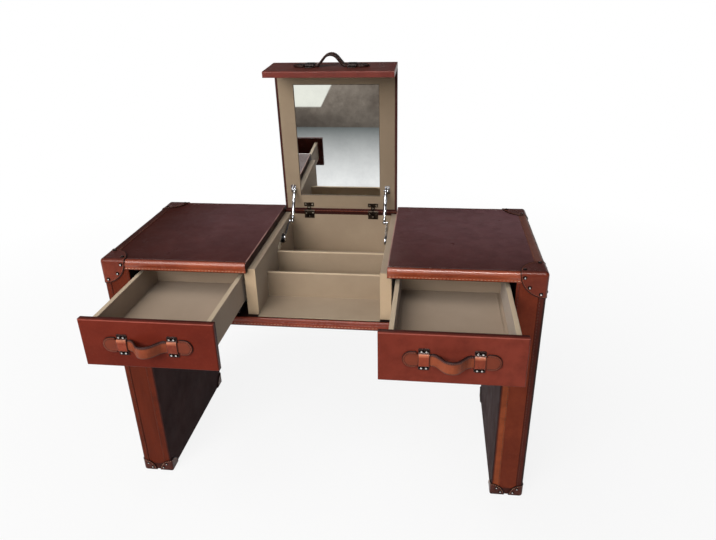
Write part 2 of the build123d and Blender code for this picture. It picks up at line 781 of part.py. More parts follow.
def stay_bracket(side):
    """Plate on the partition's inner face, with a hub and the lower arm's pivot pin."""
    length, face = towards(foot_at, stay_tail, side * partition_inner)
    with BuildPart() as bracket:
        with BuildSketch(face):
            Circle(stay_hub_radius + 2)
            with Locations((length / 2, 0)):
                SlotCenterToCenter(length, stay_tail_width)
        extrude(amount=-side * stay_plate)
        with BuildSketch(face.offset(-side * stay_plate)):
            Circle(stay_hub_radius)
        extrude(amount=-side * (stay_hub_length - stay_gap))
        with BuildSketch(face.offset(-side * (stay_plate + stay_hub_length - stay_gap))):
            Circle(stay_pin_radius)
        extrude(amount=-side * (stay_arm_thickness + stay_gap))
    return bracket.part


def stay_arm(side):
    """Flat lower arm from the bracket's pin to the knee, with a domed rivet at the knee."""
    length, along = towards(foot_at, knee_at, side * arm_inner)
    with BuildPart() as arm:
        with BuildSketch(along):
            with Locations((length / 2, 0)):
                SlotCenterToCenter(length, stay_arm_height)
            with Locations((length, 0)):
                Circle(stay_knee_radius)
            Circle(stay_knee_radius)
            Circle(stay_pin_radius + pin_clearance, mode=Mode.SUBTRACT)
        extrude(amount=side * stay_arm_thickness)
    return arm.part


def stay_damper(side):
    """Upper arm: an eye on the lid mount's pin, the damper barrel, its rod and the knee's ball."""
    length, along = towards(mount_at, knee_at, side * link_middle)
    barrel_from = 14.0
    barrel_to = barrel_from + stay_barrel_length
    with BuildPart() as damper:
        with BuildSketch(along):
            with BuildLine():
                Polyline(
                    (0, 0),
                    (0, stay_rod_radius),
                    (barrel_from, stay_rod_radius),
                    (barrel_from, stay_barrel_radius),
                    (barrel_to, stay_barrel_radius),
                    (barrel_to, stay_rod_radius),
                    (length, stay_rod_radius),
                    (length, 0),
                    (0, 0),
                )
            make_face()
        revolve(axis=Axis(along.origin, along.x_dir))
        with BuildSketch(along.offset(-stay_eye_radius + 1)):
            Circle(stay_eye_radius)
        extrude(amount=2 * (stay_eye_radius - 1))
        with Locations(Location(along.from_local_coords((length, 0, 0)))):
            Sphere(stay_knee_radius)
        with BuildSketch(along.offset(-stay_eye_radius)):
            Circle(stay_pin_radius + pin_clearance)
        extrude(amount=2 * stay_eye_radius, mode=Mode.SUBTRACT)
    return damper.part


def stay_mount(side):
    """Lug screwed to the mirror frame, with the damper's pivot pin (made closed)."""
    with BuildPart() as mount:
        with BuildSketch(Plane.XY.offset(lid_under)):
            with Locations((side * lug_face, mount_y)):
                RectangleRounded(stay_pad_width, stay_pad_length, soft_edge)
        extrude(amount=-stay_plate)
        with BuildSketch(Plane.YZ.offset(side * lug_face)):
            with Locations((mount_y, mount_z)):
                Circle(stay_eye_radius)
            with Locations((mount_y, lid_under)):
                Rectangle(2 * stay_eye_radius, lid_under - mount_z, align=(Align.CENTER, Align.MAX))
        extrude(amount=side * stay_plate)
        with BuildSketch(Plane.YZ.offset(side * lug_face)):
            with Locations((mount_y, mount_z)):
                Circle(stay_pin_radius)
        extrude(amount=-side * (2 * stay_eye_radius - 1))
    return mount.part


# ---------------------------------------------------------------- build and write every piece
os.makedirs("parts", exist_ok=True)
sides = {"left": -1, "right": 1}

for name, side in sides.items():
    save(leg(side), f"leg_{name}")
    save(leg_lining(side), f"leg_lining_{name}")
    save(top(side), f"top_{name}")
    save(partition(side), f"partition_{name}")
    save(group(slide_rail(x) for x in runner_places(side)), f"slide_rails_{name}")
    save(stay_bracket(side), f"stay_bracket_{name}")
    save(stay_arm(side), f"stay_arm_{name}")
    save(stay_damper(side), f"stay_damper_{name}")
    handle_x = side * (drawer_front_from + drawer_front_to) / 2
    handle_at = (handle_x, front_y, drawer_handle_height)
    drawer = {
        "front": drawer_front(side),
        "side_inner": drawer_side(side, False),
        "side_outer": drawer_side(side, True),
        "back": drawer_back(side),
        "floor": drawer_floor(side),
        "runners": group(runner(x) for x in runner_places(side)),
        "strap": strap(*handle_at),
        "strap_loops": strap_loops(*handle_at),
        "strap_nails": strap_nails(*handle_at),
    }
    for piece, solid in drawer.items():
        save(opened_drawer(solid), f"drawer_{name}_{piece}")

save(bottom_board(), "bottom_board")
save(
    board(-leg_inner, leg_inner, back_y - back_thickness, back_y, board_top, top_under),
    "back_panel",
)
save(back_rail(), "back_rail")
save(
    board(
        -partition_inner,
        partition_inner,
        front_y + 2 * soft_edge,
        lining_y,
        board_top,
        board_top + lining_thickness,
    ),
    "bay_floor_lining",
)
save(
    board(-partition_outer, partition_outer, lining_y, lining_y + lining_thickness, board_top, top_under),
    "bay_back_lining",
)
save(divider(divider_front_y, divider_front_height), "divider_front")
save(divider(divider_rear_y, divider_rear_height), "divider_rear")
save(corner_caps(), "corner_caps")
save(foot_caps(), "foot_caps")
save(cap_nails(), "cap_nails")
save(group(case_leaf(x) for x in (-hinge_x, hinge_x)), "hinge_leaves_case")
save(group(hinge_pin(x) for x in (-hinge_x, hinge_x)), "hinge_pins")
save(case_screws(), "case_screws")

lid_handle = (0, front_y, case_height - fall_drop / 2)
lid = {
    "lid_panel": lid_panel(),
    "lid_fall": lid_fall(),
    "fall_lining": fall_lining(),
    "lid_frame": lid_frame(),
    "lid_mirror": lid_mirror(),
    "lid_strap": strap(*lid_handle),
    "lid_strap_loops": strap_loops(*lid_handle),
    "lid_strap_nails": strap_nails(*lid_handle),
    "hinge_leaves_lid": group(lid_leaf(x) for x in (-hinge_x, hinge_x)),
    "lid_screws": lid_screws(),
    "stay_mounts": group(stay_mount(side) for side in sides.values()),
}
for piece, solid in lid.items():
    save(opened_lid(solid), piece)
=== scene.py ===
import math
import random

import bmesh
import bpy
from mathutils import Matrix, Vector


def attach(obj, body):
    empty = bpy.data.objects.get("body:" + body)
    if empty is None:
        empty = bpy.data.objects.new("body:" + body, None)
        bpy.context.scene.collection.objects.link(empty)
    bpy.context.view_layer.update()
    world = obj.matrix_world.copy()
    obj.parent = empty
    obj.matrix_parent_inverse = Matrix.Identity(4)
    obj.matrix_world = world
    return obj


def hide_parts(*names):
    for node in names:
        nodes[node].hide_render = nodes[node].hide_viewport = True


# Leather-covered dressing table with a lift-up mirror. Places are in millimetres in the row frame, given
# for the closed case, and become metres where a mesh or a node is made. Colours are sRGB steps of 255.
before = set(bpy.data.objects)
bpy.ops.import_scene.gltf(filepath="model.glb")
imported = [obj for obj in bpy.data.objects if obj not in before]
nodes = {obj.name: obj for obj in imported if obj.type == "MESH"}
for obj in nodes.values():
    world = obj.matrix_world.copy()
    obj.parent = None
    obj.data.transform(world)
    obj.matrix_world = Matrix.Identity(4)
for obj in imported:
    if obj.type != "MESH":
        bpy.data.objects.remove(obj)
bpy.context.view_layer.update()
rng = random.Random(11)         # its draws are in the order of the pieces

# ---------------- places, as in the CAD
X, Y, Z = 0, 1, 2
SIDES = (("left", -1), ("right", 1))
FRONT, BACK = -92.5, 397.5
MID_Y, HALF_DEPTH = (FRONT + BACK) / 2, (BACK - FRONT) / 2
FACES = ((FRONT, -1), (BACK, 1))            # front and back face, and which way each looks
HALF, BAY_HALF = 600.0, 190.0               # centre plane to the case's side and to a top's inner edge
TOP, UNDER = 750.0, 721.5                   # upper and lower face of the tops
BOARD_TOP, BOARD_UNDER = 587.0, 559.5
LEG_IN, LINING_IN = 523.0, 507.5            # inner faces of a leg and of the board that lines it
PARTITION_IN, PARTITION_FRONT = 170.0, FRONT + 17.5     # inner face and front end
DIVIDERS = ((FRONT + 135.5, 665.0), (FRONT + 265.0, 675.5))     # middle along Y, upper face
RAIL_TOP = 734.5                            # upper face of the back rail
EDGE = 8.0                                  # radius of the case's outer edges
SKIN = 3.0                                  # thickness of the caps
CAP, FOOT_CAP = 70.0, 40.0                  # reach of a corner cap and of a foot cap
CAP_NAIL, FOOT_NAIL = 60.0, 30.0            # corner to the nails
LEG_BINDING, JOINT_OUT = 18.5, LEG_IN + 8.5     # width of a leg's binding, outer edge of its joint strip
PIN_Y, PIN_Z, LID_ANGLE = 385.7, 734.2, math.radians(-86.5)     # the hinges' pins, and the lid's turn
LID_HALF, LID_UNDER, FALL_UNDER = 187.5, 735.0, 599.0
MIRROR_HALF, MIRROR_FRONT, MIRROR_BACK = 131.0, -27.5, 329.5    # what shows of the mirror
DRAWER_OPEN = 272.0
DRAWER_FRONT_UNDER, DRAWER_FRONT_TOP, DRAWER_WALL_TOP = 593.0, 720.0, 702.0
DRAWER_IN, DRAWER_OUT = 189.0, 521.5        # ends of a drawer front
BOX_IN, BOX_OUT, BOX_FRONT, BOX_BACK, BOX_FLOOR = 223.0, 498.0, -76.5, 287.5, 636.0
HANDLE_X, HANDLE_Z, LID_HANDLE_Z = (DRAWER_IN + DRAWER_OUT) / 2, 656.25, 674.5
LOOP_X, STRAP_REACH = 62.0, 111.0           # middle of a handle to a loop's middle and to the strap's tip
TIP = 20.5                                  # radius of a strap's round ends


# ---------------- poses of the stored model
def as_is(point):
    return point


def opened_lid(point):
    """A point of the closed lid, swung up with it."""
    x, y, z = point
    dy, dz = y - PIN_Y, z - PIN_Z
    c, s = math.cos(LID_ANGLE), math.sin(LID_ANGLE)
    return (x, PIN_Y + dy * c - dz * s, PIN_Z + dy * s + dz * c)


def opened_drawer(point):
    return (point[0], point[1] - DRAWER_OPEN, point[2])


# ---------------- node helpers
def colour(red, green, blue):
    """A colour given in sRGB steps of 255, as Blender's scene-linear value."""
    def linear(step):
        share = step / 255
        return share / 12.92 if share <= 0.04045 else ((share + 0.055) / 1.055) ** 2.4
    return (linear(red), linear(green), linear(blue), 1.0)


def is_socket(value):
    return isinstance(value, bpy.types.NodeSocket)


def tree_of(*values):
    """The node tree of the first of the values that is a socket."""
    return next(value.id_data for value in values if is_socket(value))


def add(tree, kind, inputs=None, **settings):
    """A new shader node. Its inputs are plain values, or other nodes' outputs that are linked to it."""
    node = tree.nodes.new(kind)
    for key, value in settings.items():
        setattr(node, key, value)
    for key, value in (inputs or {}).items():
        if is_socket(value):
            tree.links.new(value, node.inputs[key])
        else:
            node.inputs[key].default_value = value
    return node


def maths(operation, first, second=0.0):
    tree = tree_of(first, second)
    return add(tree, "ShaderNodeMath", {0: first, 1: second}, operation=operation).outputs[0]


def times(first, *others):
    for other in others:
        first = maths("MULTIPLY", first, other)
    return first


def minus(first, second):
    return maths("SUBTRACT", first, second)


def largest(first, second):
    return maths("MAXIMUM", first, second)


def length_of(x, y, z=0.0):
    joined = add(tree_of(x, y, z), "ShaderNodeCombineXYZ", {0: x, 1: y, 2: z}).outputs[0]
    return add(joined.id_data, "ShaderNodeVectorMath", {0: joined}, operation="LENGTH").outputs["Value"]


def mixed(factor, first, second):
    """A mix of two colours, each a socket or three sRGB steps."""
    ends = [end if is_socket(end) else colour(*end) for end in (first, second)]
    tree = tree_of(factor, first, second)
    return add(tree, "ShaderNodeMix", {0: factor, 6: ends[0], 7: ends[1]}, data_type="RGBA").outputs[2]


def ranged(value, low, high, to_low=0.0, to_high=1.0):
    ends = {"Value": value, "From Min": low, "From Max": high, "To Min": to_low, "To Max": to_high}
    return add(value.id_data, "ShaderNodeMapRange", ends).outputs[0]


def ramp(value, low, high, to_high=1.0):
    """0 at low and to_high at high, both in millimetres, for a value in metres."""
    return ranged(value, low / 1000, high / 1000, 0.0, to_high)


def noise(at, scale, detail, rough, stretch=None):
    tree = at.id_data
    if stretch:
        at = add(tree, "ShaderNodeMapping", {"Vector": at, "Scale": stretch}).outputs[0]
    values = {"Vector": at, "Scale": scale, "Detail": detail, "Roughness": rough}
    return add(tree, "ShaderNodeTexNoise", values).outputs["Fac"]


def bump(height, depth, normal=None):
    """A normal raised by a height, laid over another normal; depth is in millimetres."""
    values = {"Height": height, "Distance": depth / 1000}
    if normal:
        values["Normal"] = normal
    return add(height.id_data, "ShaderNodeBump", values).outputs[0]


def new_material(name):
    """(material, its empty node tree, position in the row frame in metres)"""
    material = bpy.data.materials.new(name)
    material.use_nodes = True
    tree = material.node_tree
    tree.nodes.clear()
    return material, tree, add(tree, "ShaderNodeTexCoord").outputs["Object"]


def shade(tree, **inputs):
    """Closes a material with a Principled shader; underscores stand for the spaces of its sockets."""
    values = {key.replace("_", " "): value for key, value in inputs.items()}
    shader = add(tree, "ShaderNodeBsdfPrincipled", values)
    add(tree, "ShaderNodeOutputMaterial", {"Surface": shader.outputs[0]})


def edge_mask(tree, radius):
    """(softened normal, 1 along sharp edges) from a bevel of a radius in millimetres."""
    bevel = add(tree, "ShaderNodeBevel", {"Radius": radius / 1000}, samples=4).outputs[0]
    normal = add(tree, "ShaderNodeNewGeometry").outputs["Normal"]
    flat = add(tree, "ShaderNodeVectorMath", {0: bevel, 1: normal}, operation="DOT_PRODUCT")
    return bevel, ranged(flat.outputs["Value"], 0.99, 0.86)


# ---------------- kinds of material
def leather(name, base, deep, edge, rough, level, wax, zone=None, stretch=(1.0, 1.0, 1.0), worn=0.6):
    """Waxed hide: cloudy dye, drawn-out streaks, pebbled grain, pores and edges rubbed to another tone.
    A zone gives the (mask, colour) pairs that are laid over it."""
    material, tree, at = new_material(name)
    soft, edges = edge_mask(tree, 2.2)
    clouds = noise(at, 7.0, 5.0, 0.6)
    streaks = noise(at, 30.0, 4.0, 0.62, stretch)
    mottle = noise(at, 150.0, 3.0, 0.6)
    tint = mixed(ranged(clouds, 0.34, 0.64), deep, base)
    tint = mixed(ranged(streaks, 0.42, 0.76, 0.0, 0.45), tint, deep)
    tint = mixed(ranged(mottle, 0.52, 0.80, 0.0, 0.22), tint, edge)
    warp = add(tree, "ShaderNodeTexNoise", {"Vector": at, "Scale": 260.0, "Detail": 1.0}).outputs["Color"]
    pebbles = {"Vector": mixed(0.0035, at, warp), "Scale": 620.0}
    cells = add(tree, "ShaderNodeTexVoronoi", pebbles, feature="DISTANCE_TO_EDGE").outputs["Distance"]
    creases = ranged(cells, 0.0, 0.16)
    tint = mixed(ranged(creases, 0.0, 1.0, 0.26, 0.0), tint, deep)
    tint = mixed(times(edges, worn), tint, edge)
    for mask, other in zone(at) if zone else ():
        shaded = mixed(ranged(streaks, 0.42, 0.76, 0.0, 0.35), other, (20, 10, 9))
        tint = mixed(mask, tint, shaded)
    polish = noise(at, 16.0, 4.0, 0.65)
    normal = bump(creases, 0.08, soft)
    normal = bump(noise(at, 1500.0, 2.0, 0.5), 0.05, normal)
    normal = bump(noise(at, 45.0, 3.0, 0.5), 0.40, normal)
    shade(
        tree,
        Base_Color=tint,
        Roughness=ranged(polish, 0.3, 0.7, rough - 0.07, rough + 0.10),
        Normal=normal,
        Specular_IOR_Level=level,
        Specular_Tint=(1.0, 0.84, 0.76, 1.0),
        Coat_Weight=wax,
        Coat_Roughness=0.16,
    )
    return material


def lining(name, base, deep, zone, worn=0.6):
    """Beige faux suede: short brushed nap, faint smudges and edges rubbed pale."""
    material, tree, at = new_material(name)
    soft, edges = edge_mask(tree, 1.6)
    smudges = noise(at, 6.0, 4.0, 0.6)
    nap = noise(at, 420.0, 3.0, 0.7, (1.0, 1.0, 0.45))
    tint = mixed(ranged(smudges, 0.35, 0.70), deep, base)
    tint = mixed(ranged(nap, 0.35, 0.70, 0.28, 0.0), tint, deep)
    tint = mixed(times(edges, worn), tint, (200, 180, 150))
    for mask, other in zone(at):
        tint = mixed(mask, tint, other)
    normal = bump(nap, 0.18, soft)
    shade(
        tree,
        Base_Color=tint,
        Roughness=ranged(smudges, 0.3, 0.7, 0.74, 0.88),
        Normal=bump(noise(at, 1300.0, 2.0, 0.6), 0.12, normal),
        Sheen_Weight=0.18,
        Sheen_Roughness=0.45,
        Specular_IOR_Level=0.28,
    )
    return material


def metal(name, base, deep, rough, spread=0.12, scale=60.0, grain=0.02):
    """Cast or plated metal with tarnish in patches, fine scratches and brighter rubbed edges."""
    material, tree, at = new_material(name)
    soft, edges = edge_mask(tree, 0.6)
    patches = noise(at, scale, 4.0, 0.6)
    scratches = noise(at, 900.0, 3.0, 0.7, (1.0, 0.25, 1.0))
    tint = mixed(ranged(patches, 0.38, 0.66), deep, base)
    tint = mixed(times(edges, 0.5), tint, base)
    roughness = ranged(scratches, 0.3, 0.7, rough, rough + spread)
    shade(tree, Base_Color=tint, Metallic=1.0, Roughness=roughness, Normal=bump(scratches, grain, soft))
    return material


def mirror_glass(name):
    """Silvered glass with a breath of dust."""
    material, tree, at = new_material(name)
    dust = noise(at, 14.0, 5.0, 0.65)
    tint = mixed(ranged(dust, 0.4, 0.8), (236, 238, 237), (222, 224, 224))
    shade(tree, Base_Color=tint, Metallic=1.0, Roughness=ranged(dust, 0.35, 0.75, 0.006, 0.03))
    return material


def thread(name, base, deep):
    """Waxed linen thread with a visible twist."""
    material, tree, at = new_material(name)
    waves = {"Vector": at, "Scale": 420.0, "Distortion": 1.5}
    twist = add(tree, "ShaderNodeTexWave", waves, bands_direction="DIAGONAL").outputs["Fac"]
    tint = mixed(ranged(noise(at, 25.0, 3.0, 0.6), 0.35, 0.7), deep, base)
    tint = mixed(ranged(twist, 0.0, 1.0, 0.35, 0.0), tint, (96, 56, 40))
    shade(tree, Base_Color=tint, Roughness=0.55, Normal=bump(twist, 0.1), Specular_IOR_Level=0.3)
    return material


# ---------------- zones: where a finish changes colour
def coordinate(at, axis):
    return add(at.id_data, "ShaderNodeSeparateXYZ", {"Vector": at}).outputs[axis]


def beyond(at, axis, low, high):
    """0 below low and 1 above high along one axis, both in millimetres."""
    return ramp(coordinate(at, axis), low, high)


def off(value, middle):
    """Distance of a value in metres from a middle in millimetres."""
    return maths("ABSOLUTE", minus(value, middle / 1000))


def away_from(at, axis, middle=0.0):
    return off(coordinate(at, axis), middle)


def from_corner(at, x_corners, z_corner):
    """Distance to the nearest of the case's corners, with |x| at each value in x_corners."""
    away = away_from(at, X)
    x = off(away, x_corners[0])
    for corner in x_corners[1:]:
        x = maths("MINIMUM", x, off(away, corner))
    y = minus(away_from(at, Y, MID_Y), HALF_DEPTH / 1000)
    return length_of(x, y, minus(coordinate(at, Z), z_corner / 1000))


def cap_zone(at):
    """A top corner cap: dark as the tops on its upper face, with a blackened cut edge."""
    reach = from_corner(at, [HALF], TOP)
    return [
        (beyond(at, Z, TOP - 1.5, TOP + 2.8), (76, 38, 33)),
        (ramp(reach, CAP - 2.8, CAP - 1.2), (38, 19, 15)),
    ]


def foot_zone(at):
    """The darkened cut edge of a foot cap, and a dark strip just above the floor."""
    reach = from_corner(at, [HALF, LINING_IN], SKIN)
    return [
        (ramp(reach, FOOT_CAP - 2.6, FOOT_CAP - 0.9), (36, 17, 14)),
        (beyond(at, Z, 10.0, 0.0), (36, 17, 14)),
    ]


def leg_zone(at):
    """Legs: sunk seams, a dark outer band and an orange inner strip on the right one, darkened edges and
    foot, and painted shade on their faces inside the drawer bay."""
    away = away_from(at, X)
    on_face = ramp(away_from(at, Y, MID_Y), HALF_DEPTH - 10.0, HALF_DEPTH - 6.0)
    right_side = beyond(at, X, LINING_IN - 0.5, LINING_IN + 7.5)
    inner_strip = times(right_side, ramp(away, JOINT_OUT + 0.1, JOINT_OUT - 0.5), beyond(at, Z, 600.0, 380.0))
    # painted shade on the legs' inner faces inside the drawer bay
    bay_shade = times(beyond(at, Y, FRONT + 3, FRONT + 6), ramp(away, LEG_IN + 1.5, LEG_IN + 0.5))
    sunk = ramp(off(away, HALF - LEG_BINDING - 0.5), 1.6, 0.6)
    return [
        (beyond(at, X, -480.0, -520.0), (93, 36, 20)),
        (inner_strip, (142, 70, 42)),
        (ramp(away, LINING_IN + 8.0, LINING_IN + 2.0), (52, 27, 23)),
        (times(beyond(at, X, HALF - LEG_BINDING, HALF - 16.0), on_face), (80, 36, 28)),
        (times(sunk, 0.8), (44, 18, 13)),
        (times(beyond(at, X, HALF - 7.5, HALF - 4.0), on_face), (50, 26, 22)),
        (times(beyond(at, X, -HALF + 4.0, -HALF + 0.5), on_face), (56, 28, 23)),
        (beyond(at, Z, 31.0, 26.0), (62, 30, 24)),
        (bay_shade, (20, 13, 13)),
    ]


def roll_zone(at):
    """A rail takes the dark of the top where it leaves it, and reddens over the crest."""
    return [(ramp(away_from(at, Y, MID_Y), HALF_DEPTH - 1.2, HALF_DEPTH - 8.5), (76, 36, 31))]


def drawer_front_zone(at):
    """Drawer fronts: painted light on the right one, a painted highlight on the upper arris, black-brown
    edges.
    """
    face = FRONT - DRAWER_OPEN
    return [
        # painted light, growing towards the right one
        (beyond(at, X, -200.0, 500.0), (119, 52, 40)),
        # painted highlight along the upper arris
        (beyond(at, Z, DRAWER_FRONT_TOP - 2.6, DRAWER_FRONT_TOP - 1.6), (142, 72, 60)),
        (beyond(at, Z, DRAWER_FRONT_UNDER + 2.4, DRAWER_FRONT_UNDER + 1.0), (84, 35, 27)),
        (beyond(at, Y, face + 1.2, face + 2.4), (94, 39, 31)),
        (beyond(at, Y, face + 6.5, face + 9.0), (66, 31, 26)),
    ]


def top_zone(at):
    """A broad painted sheen on each top, stronger towards the back and the right, a painted highlight
    along its arris by the bay, and the dark edge below it."""
    x = coordinate(at, X)
    is_right = maths("GREATER_THAN", x, 0.0)
    left = times(ranged(x, -0.55, -0.36, 0.0, 0.55), minus(1.0, is_right))
    right = times(ranged(x, 0.19, 0.58, 0.55, 1.0), is_right)
    sheen_towards_back = ranged(coordinate(at, Y), -0.11, 0.24, 0.15, 1.0)
    # painted highlight along the arris by the bay, broken up by noise
    arris = times(ramp(away_from(at, X), BAY_HALF + 3.5, BAY_HALF + 1.6), beyond(at, Z, TOP - 1.4, TOP - 0.6))
    highlight_breakup = ranged(noise(at, 9.0, 3.0, 0.6), 0.36, 0.58, 0.25, 0.90)
    return [
        # painted sheen, stronger towards the back and the right
        (times(maths("ADD", left, right), sheen_towards_back), (106, 74, 77)),
        (times(arris, highlight_breakup), (180, 138, 128)),
        (beyond(at, Z, TOP - 4.0, TOP - 5.5), (46, 24, 20)),
    ]


def binding_zone(at):
    """The right top's binding is browner and its outer roll has a pale painted sheen; the left one stays
    dark.
    """
    return [
        (beyond(at, X, HALF - 40.0, HALF - 15.0), (108, 70, 61)),
        # painted sheen along the outer roll
        (beyond(at, X, HALF - 11.0, HALF - 1.0), (130, 106, 98)),
        (beyond(at, Z, TOP - 6.0, TOP - 12.0), (60, 31, 27)),
    ]


def back_rail_zone(at):
    """The back rail is dark below its upper face."""
    return [(beyond(at, Z, RAIL_TOP - 1.1, RAIL_TOP - 2.1), (50, 24, 20))]


def lid_zone(at):
    """The lid's side faces are stained black-brown."""
    return [(ramp(away_from(at, X), LID_HALF - 2.2, LID_HALF - 0.8), (50, 28, 25))]


def fall_zone(at):
    """The outer face of the lid's fall, dark as the tops; its lower edge stays red-brown."""
    free_end = opened_lid((0, FRONT, FALL_UNDER))[1]
    return [(beyond(at, Y, free_end + 2.5, free_end + 6.0), (93, 46, 39))]


def lid_frame_zone(at):
    """The lid's frame: painted shade on its right side, and a shadow line round the mirror."""
    low, high = (opened_lid((0, y, LID_UNDER))[2] for y in (MIRROR_BACK, MIRROR_FRONT))
    across = minus(away_from(at, X), MIRROR_HALF / 1000)
    upright = minus(away_from(at, Z, (low + high) / 2), (high - low) / 2000)
    return [
        # painted shade, deepening towards the right side
        (ramp(coordinate(at, X), 50.0, 160.0, 0.45), (112, 95, 76)),
        (ramp(largest(across, upright), 2.4, 1.2, 0.85), (66, 54, 43)),
    ]


def bay_zone(at):
    """The bay's lining: painted light on the partitions' front ends, a painted highlight on the dividers'
    upper edges.
    """
    away = away_from(at, X)
    front_end = beyond(at, Y, PARTITION_FRONT + 0.9, PARTITION_FRONT + 0.2)
    # painted light on the partitions' front ends
    masks = [(times(front_end, ramp(away, PARTITION_IN, PARTITION_IN + 0.4)), (175, 151, 122))]
    for middle, top in DIVIDERS:
        # painted highlight along each divider's upper edge
        over = times(ramp(away_from(at, Y, middle), 5.8, 5.4), beyond(at, Z, top - 1.2, top - 0.4))
        masks.append((times(over, ramp(away, PARTITION_IN - 0.2, PARTITION_IN - 0.6)), (192, 170, 141)))
    return masks


def drawer_wall_zone(at):
    """A painted highlight along the drawer walls' upper edges."""
    return [(beyond(at, Z, DRAWER_WALL_TOP - 0.8, DRAWER_WALL_TOP - 0.2), (178, 159, 133))]


def strap_zone(at):
    """Drawer straps: darker ends with a sewn border, blackened rims, and a shaded upper edge."""
    run = off(away_from(at, X), HANDLE_X)
    past = largest(minus(run, (STRAP_REACH - TIP) / 1000), 0.0)
    reach = length_of(past, away_from(at, Z, HANDLE_Z))
    at_end, hanging = ramp(run, 77.0, 77.5), ramp(run, 60.0, 50.0)
    upper_edge = beyond(at, Z, HANDLE_Z + 9.0, HANDLE_Z + 12.0)
    lower_edge = beyond(at, Z, HANDLE_Z - 12.6, HANDLE_Z - 13.4)
    return [
        (ramp(run, 55.0, 78.0, 0.8), (108, 48, 33)),
        (times(ramp(off(reach, 15.8), 1.2, 0.5), at_end), (64, 28, 22)),
        (times(ramp(reach, 18.2, 19.5), at_end), (44, 22, 19)),
        (times(upper_edge, hanging), (58, 38, 38)),
        (times(lower_edge, hanging), (74, 38, 28)),
    ]


def loop_zone(at):
    """Drawer loops: a painted highlight where they bend over the strap, dark at their sides and round the
    nails.
    """
    run = off(away_from(at, X), HANDLE_X)
    return [
        # painted highlight on the upper bend over the strap
        (ramp(coordinate(at, Z), HANDLE_Z + 7.0, HANDLE_Z + 13.0, 0.6), (206, 126, 92)),
        (ramp(off(run, LOOP_X), 11.2, 12.2), (62, 29, 22)),
        (ramp(away_from(at, Z, HANDLE_Z), 15.0, 17.2), (44, 24, 21)),
    ]


# ---------------- the materials
# Leather: base, deep and edge colour, roughness, specular level, wax coat, zone, stretch of the streaks.
UPRIGHT, LENGTHWISE, ALONG_STRAP = (1.0, 1.0, 0.12), (0.15, 1.0, 1.0), (0.2, 1.0, 1.0)
top_hide = leather(
    "hide_top", (68, 33, 28), (55, 25, 21), (90, 52, 46), 0.34, 0.04, 0.02, top_zone, worn=0.3
)
lid_hide = leather(
    "hide_lid", (80, 46, 42), (60, 33, 31), (100, 60, 52), 0.36, 0.05, 0.03, lid_zone, worn=0.3
)
rail_hide = leather(
    "hide_back_rail", (104, 48, 35), (82, 35, 26), (176, 98, 70), 0.34, 0.08, 0.06, back_rail_zone
)
front_hide = leather("hide_front", (112, 46, 32), (90, 34, 23), (136, 64, 45), 0.38, 0.05, 0.03, leg_zone)
drawer_hide = leather(
    "hide_drawer_front", (104, 38, 26), (90, 31, 21), (128, 56, 42), 0.38, 0.045, 0.02, drawer_front_zone
)
fall_hide = leather("hide_fall", (110, 46, 38), (88, 36, 31), (140, 72, 60), 0.34, 0.22, 0.08, fall_zone)
leg_hide = leather(
    "hide_leg", (130, 58, 37), (97, 40, 25), (144, 70, 46), 0.40, 0.05, 0.03, leg_zone, UPRIGHT
)
binding_hide = leather("hide_binding", (114, 47, 31), (88, 34, 22), (138, 66, 45), 0.34, 0.05, 0.04, leg_zone)
edge_hide = leather(
    "hide_edge", (66, 34, 29), (52, 26, 22), (92, 54, 45), 0.34, 0.06, 0.04, binding_zone, worn=0.15
)
# near-black board in the drawer cavities: painted shade
cavity_shade_hide = leather("hide_cavity", (34, 21, 20), (24, 15, 14), (48, 28, 24), 0.5, 0.02, 0.0)
dark_hide = leather("hide_dark", (67, 49, 48), (52, 36, 36), (82, 58, 53), 0.55, 0.01, 0.0, worn=0.2)
roll_hide = leather(
    "hide_roll", (157, 74, 45), (125, 54, 33), (172, 90, 58), 0.24, 0.26, 0.50, roll_zone, LENGTHWISE
)
board_hide = leather(
    "hide_board_roll", (132, 54, 36), (104, 38, 25), (168, 86, 60), 0.26, 0.20, 0.30, None, LENGTHWISE
)
cap_hide = leather("hide_cap", (120, 47, 27), (94, 34, 19), (148, 76, 50), 0.30, 0.14, 0.20, cap_zone)
foot_hide = leather("hide_foot_cap", (86, 38, 28), (54, 24, 18), (124, 66, 48), 0.34, 0.10, 0.10, foot_zone)
strap_hide = leather(
    "hide_strap", (140, 70, 43), (104, 46, 28), (170, 94, 60), 0.34, 0.08, 0.10, strap_zone, ALONG_STRAP
)
loop_hide = leather("hide_loop", (136, 58, 36), (102, 40, 25), (176, 98, 66), 0.30, 0.12, 0.15, loop_zone)
# the lid handle's near-black leather is painted shade
lid_handle_shade_hide = leather("hide_black", (34, 22, 21), (21, 14, 14), (58, 38, 34), 0.34, 0.10, 0.10)
burnished = leather("hide_burnished", (42, 21, 17), (26, 13, 12), (62, 34, 26), 0.34, 0.10, 0.10)

suede = lining("lining_suede", (158, 139, 116), (144, 125, 103), bay_zone)
suede_drawer = lining("lining_drawer", (162, 142, 122), (150, 131, 111), drawer_wall_zone)
suede_lid = lining("lining_lid", (152, 133, 110), (138, 120, 98), lid_frame_zone, 0.15)

bronze = metal("aged_bronze", (84, 74, 64), (40, 34, 30), 0.24)
screw_metal = metal("screw_brass_grey", (176, 166, 150), (120, 110, 98), 0.22)
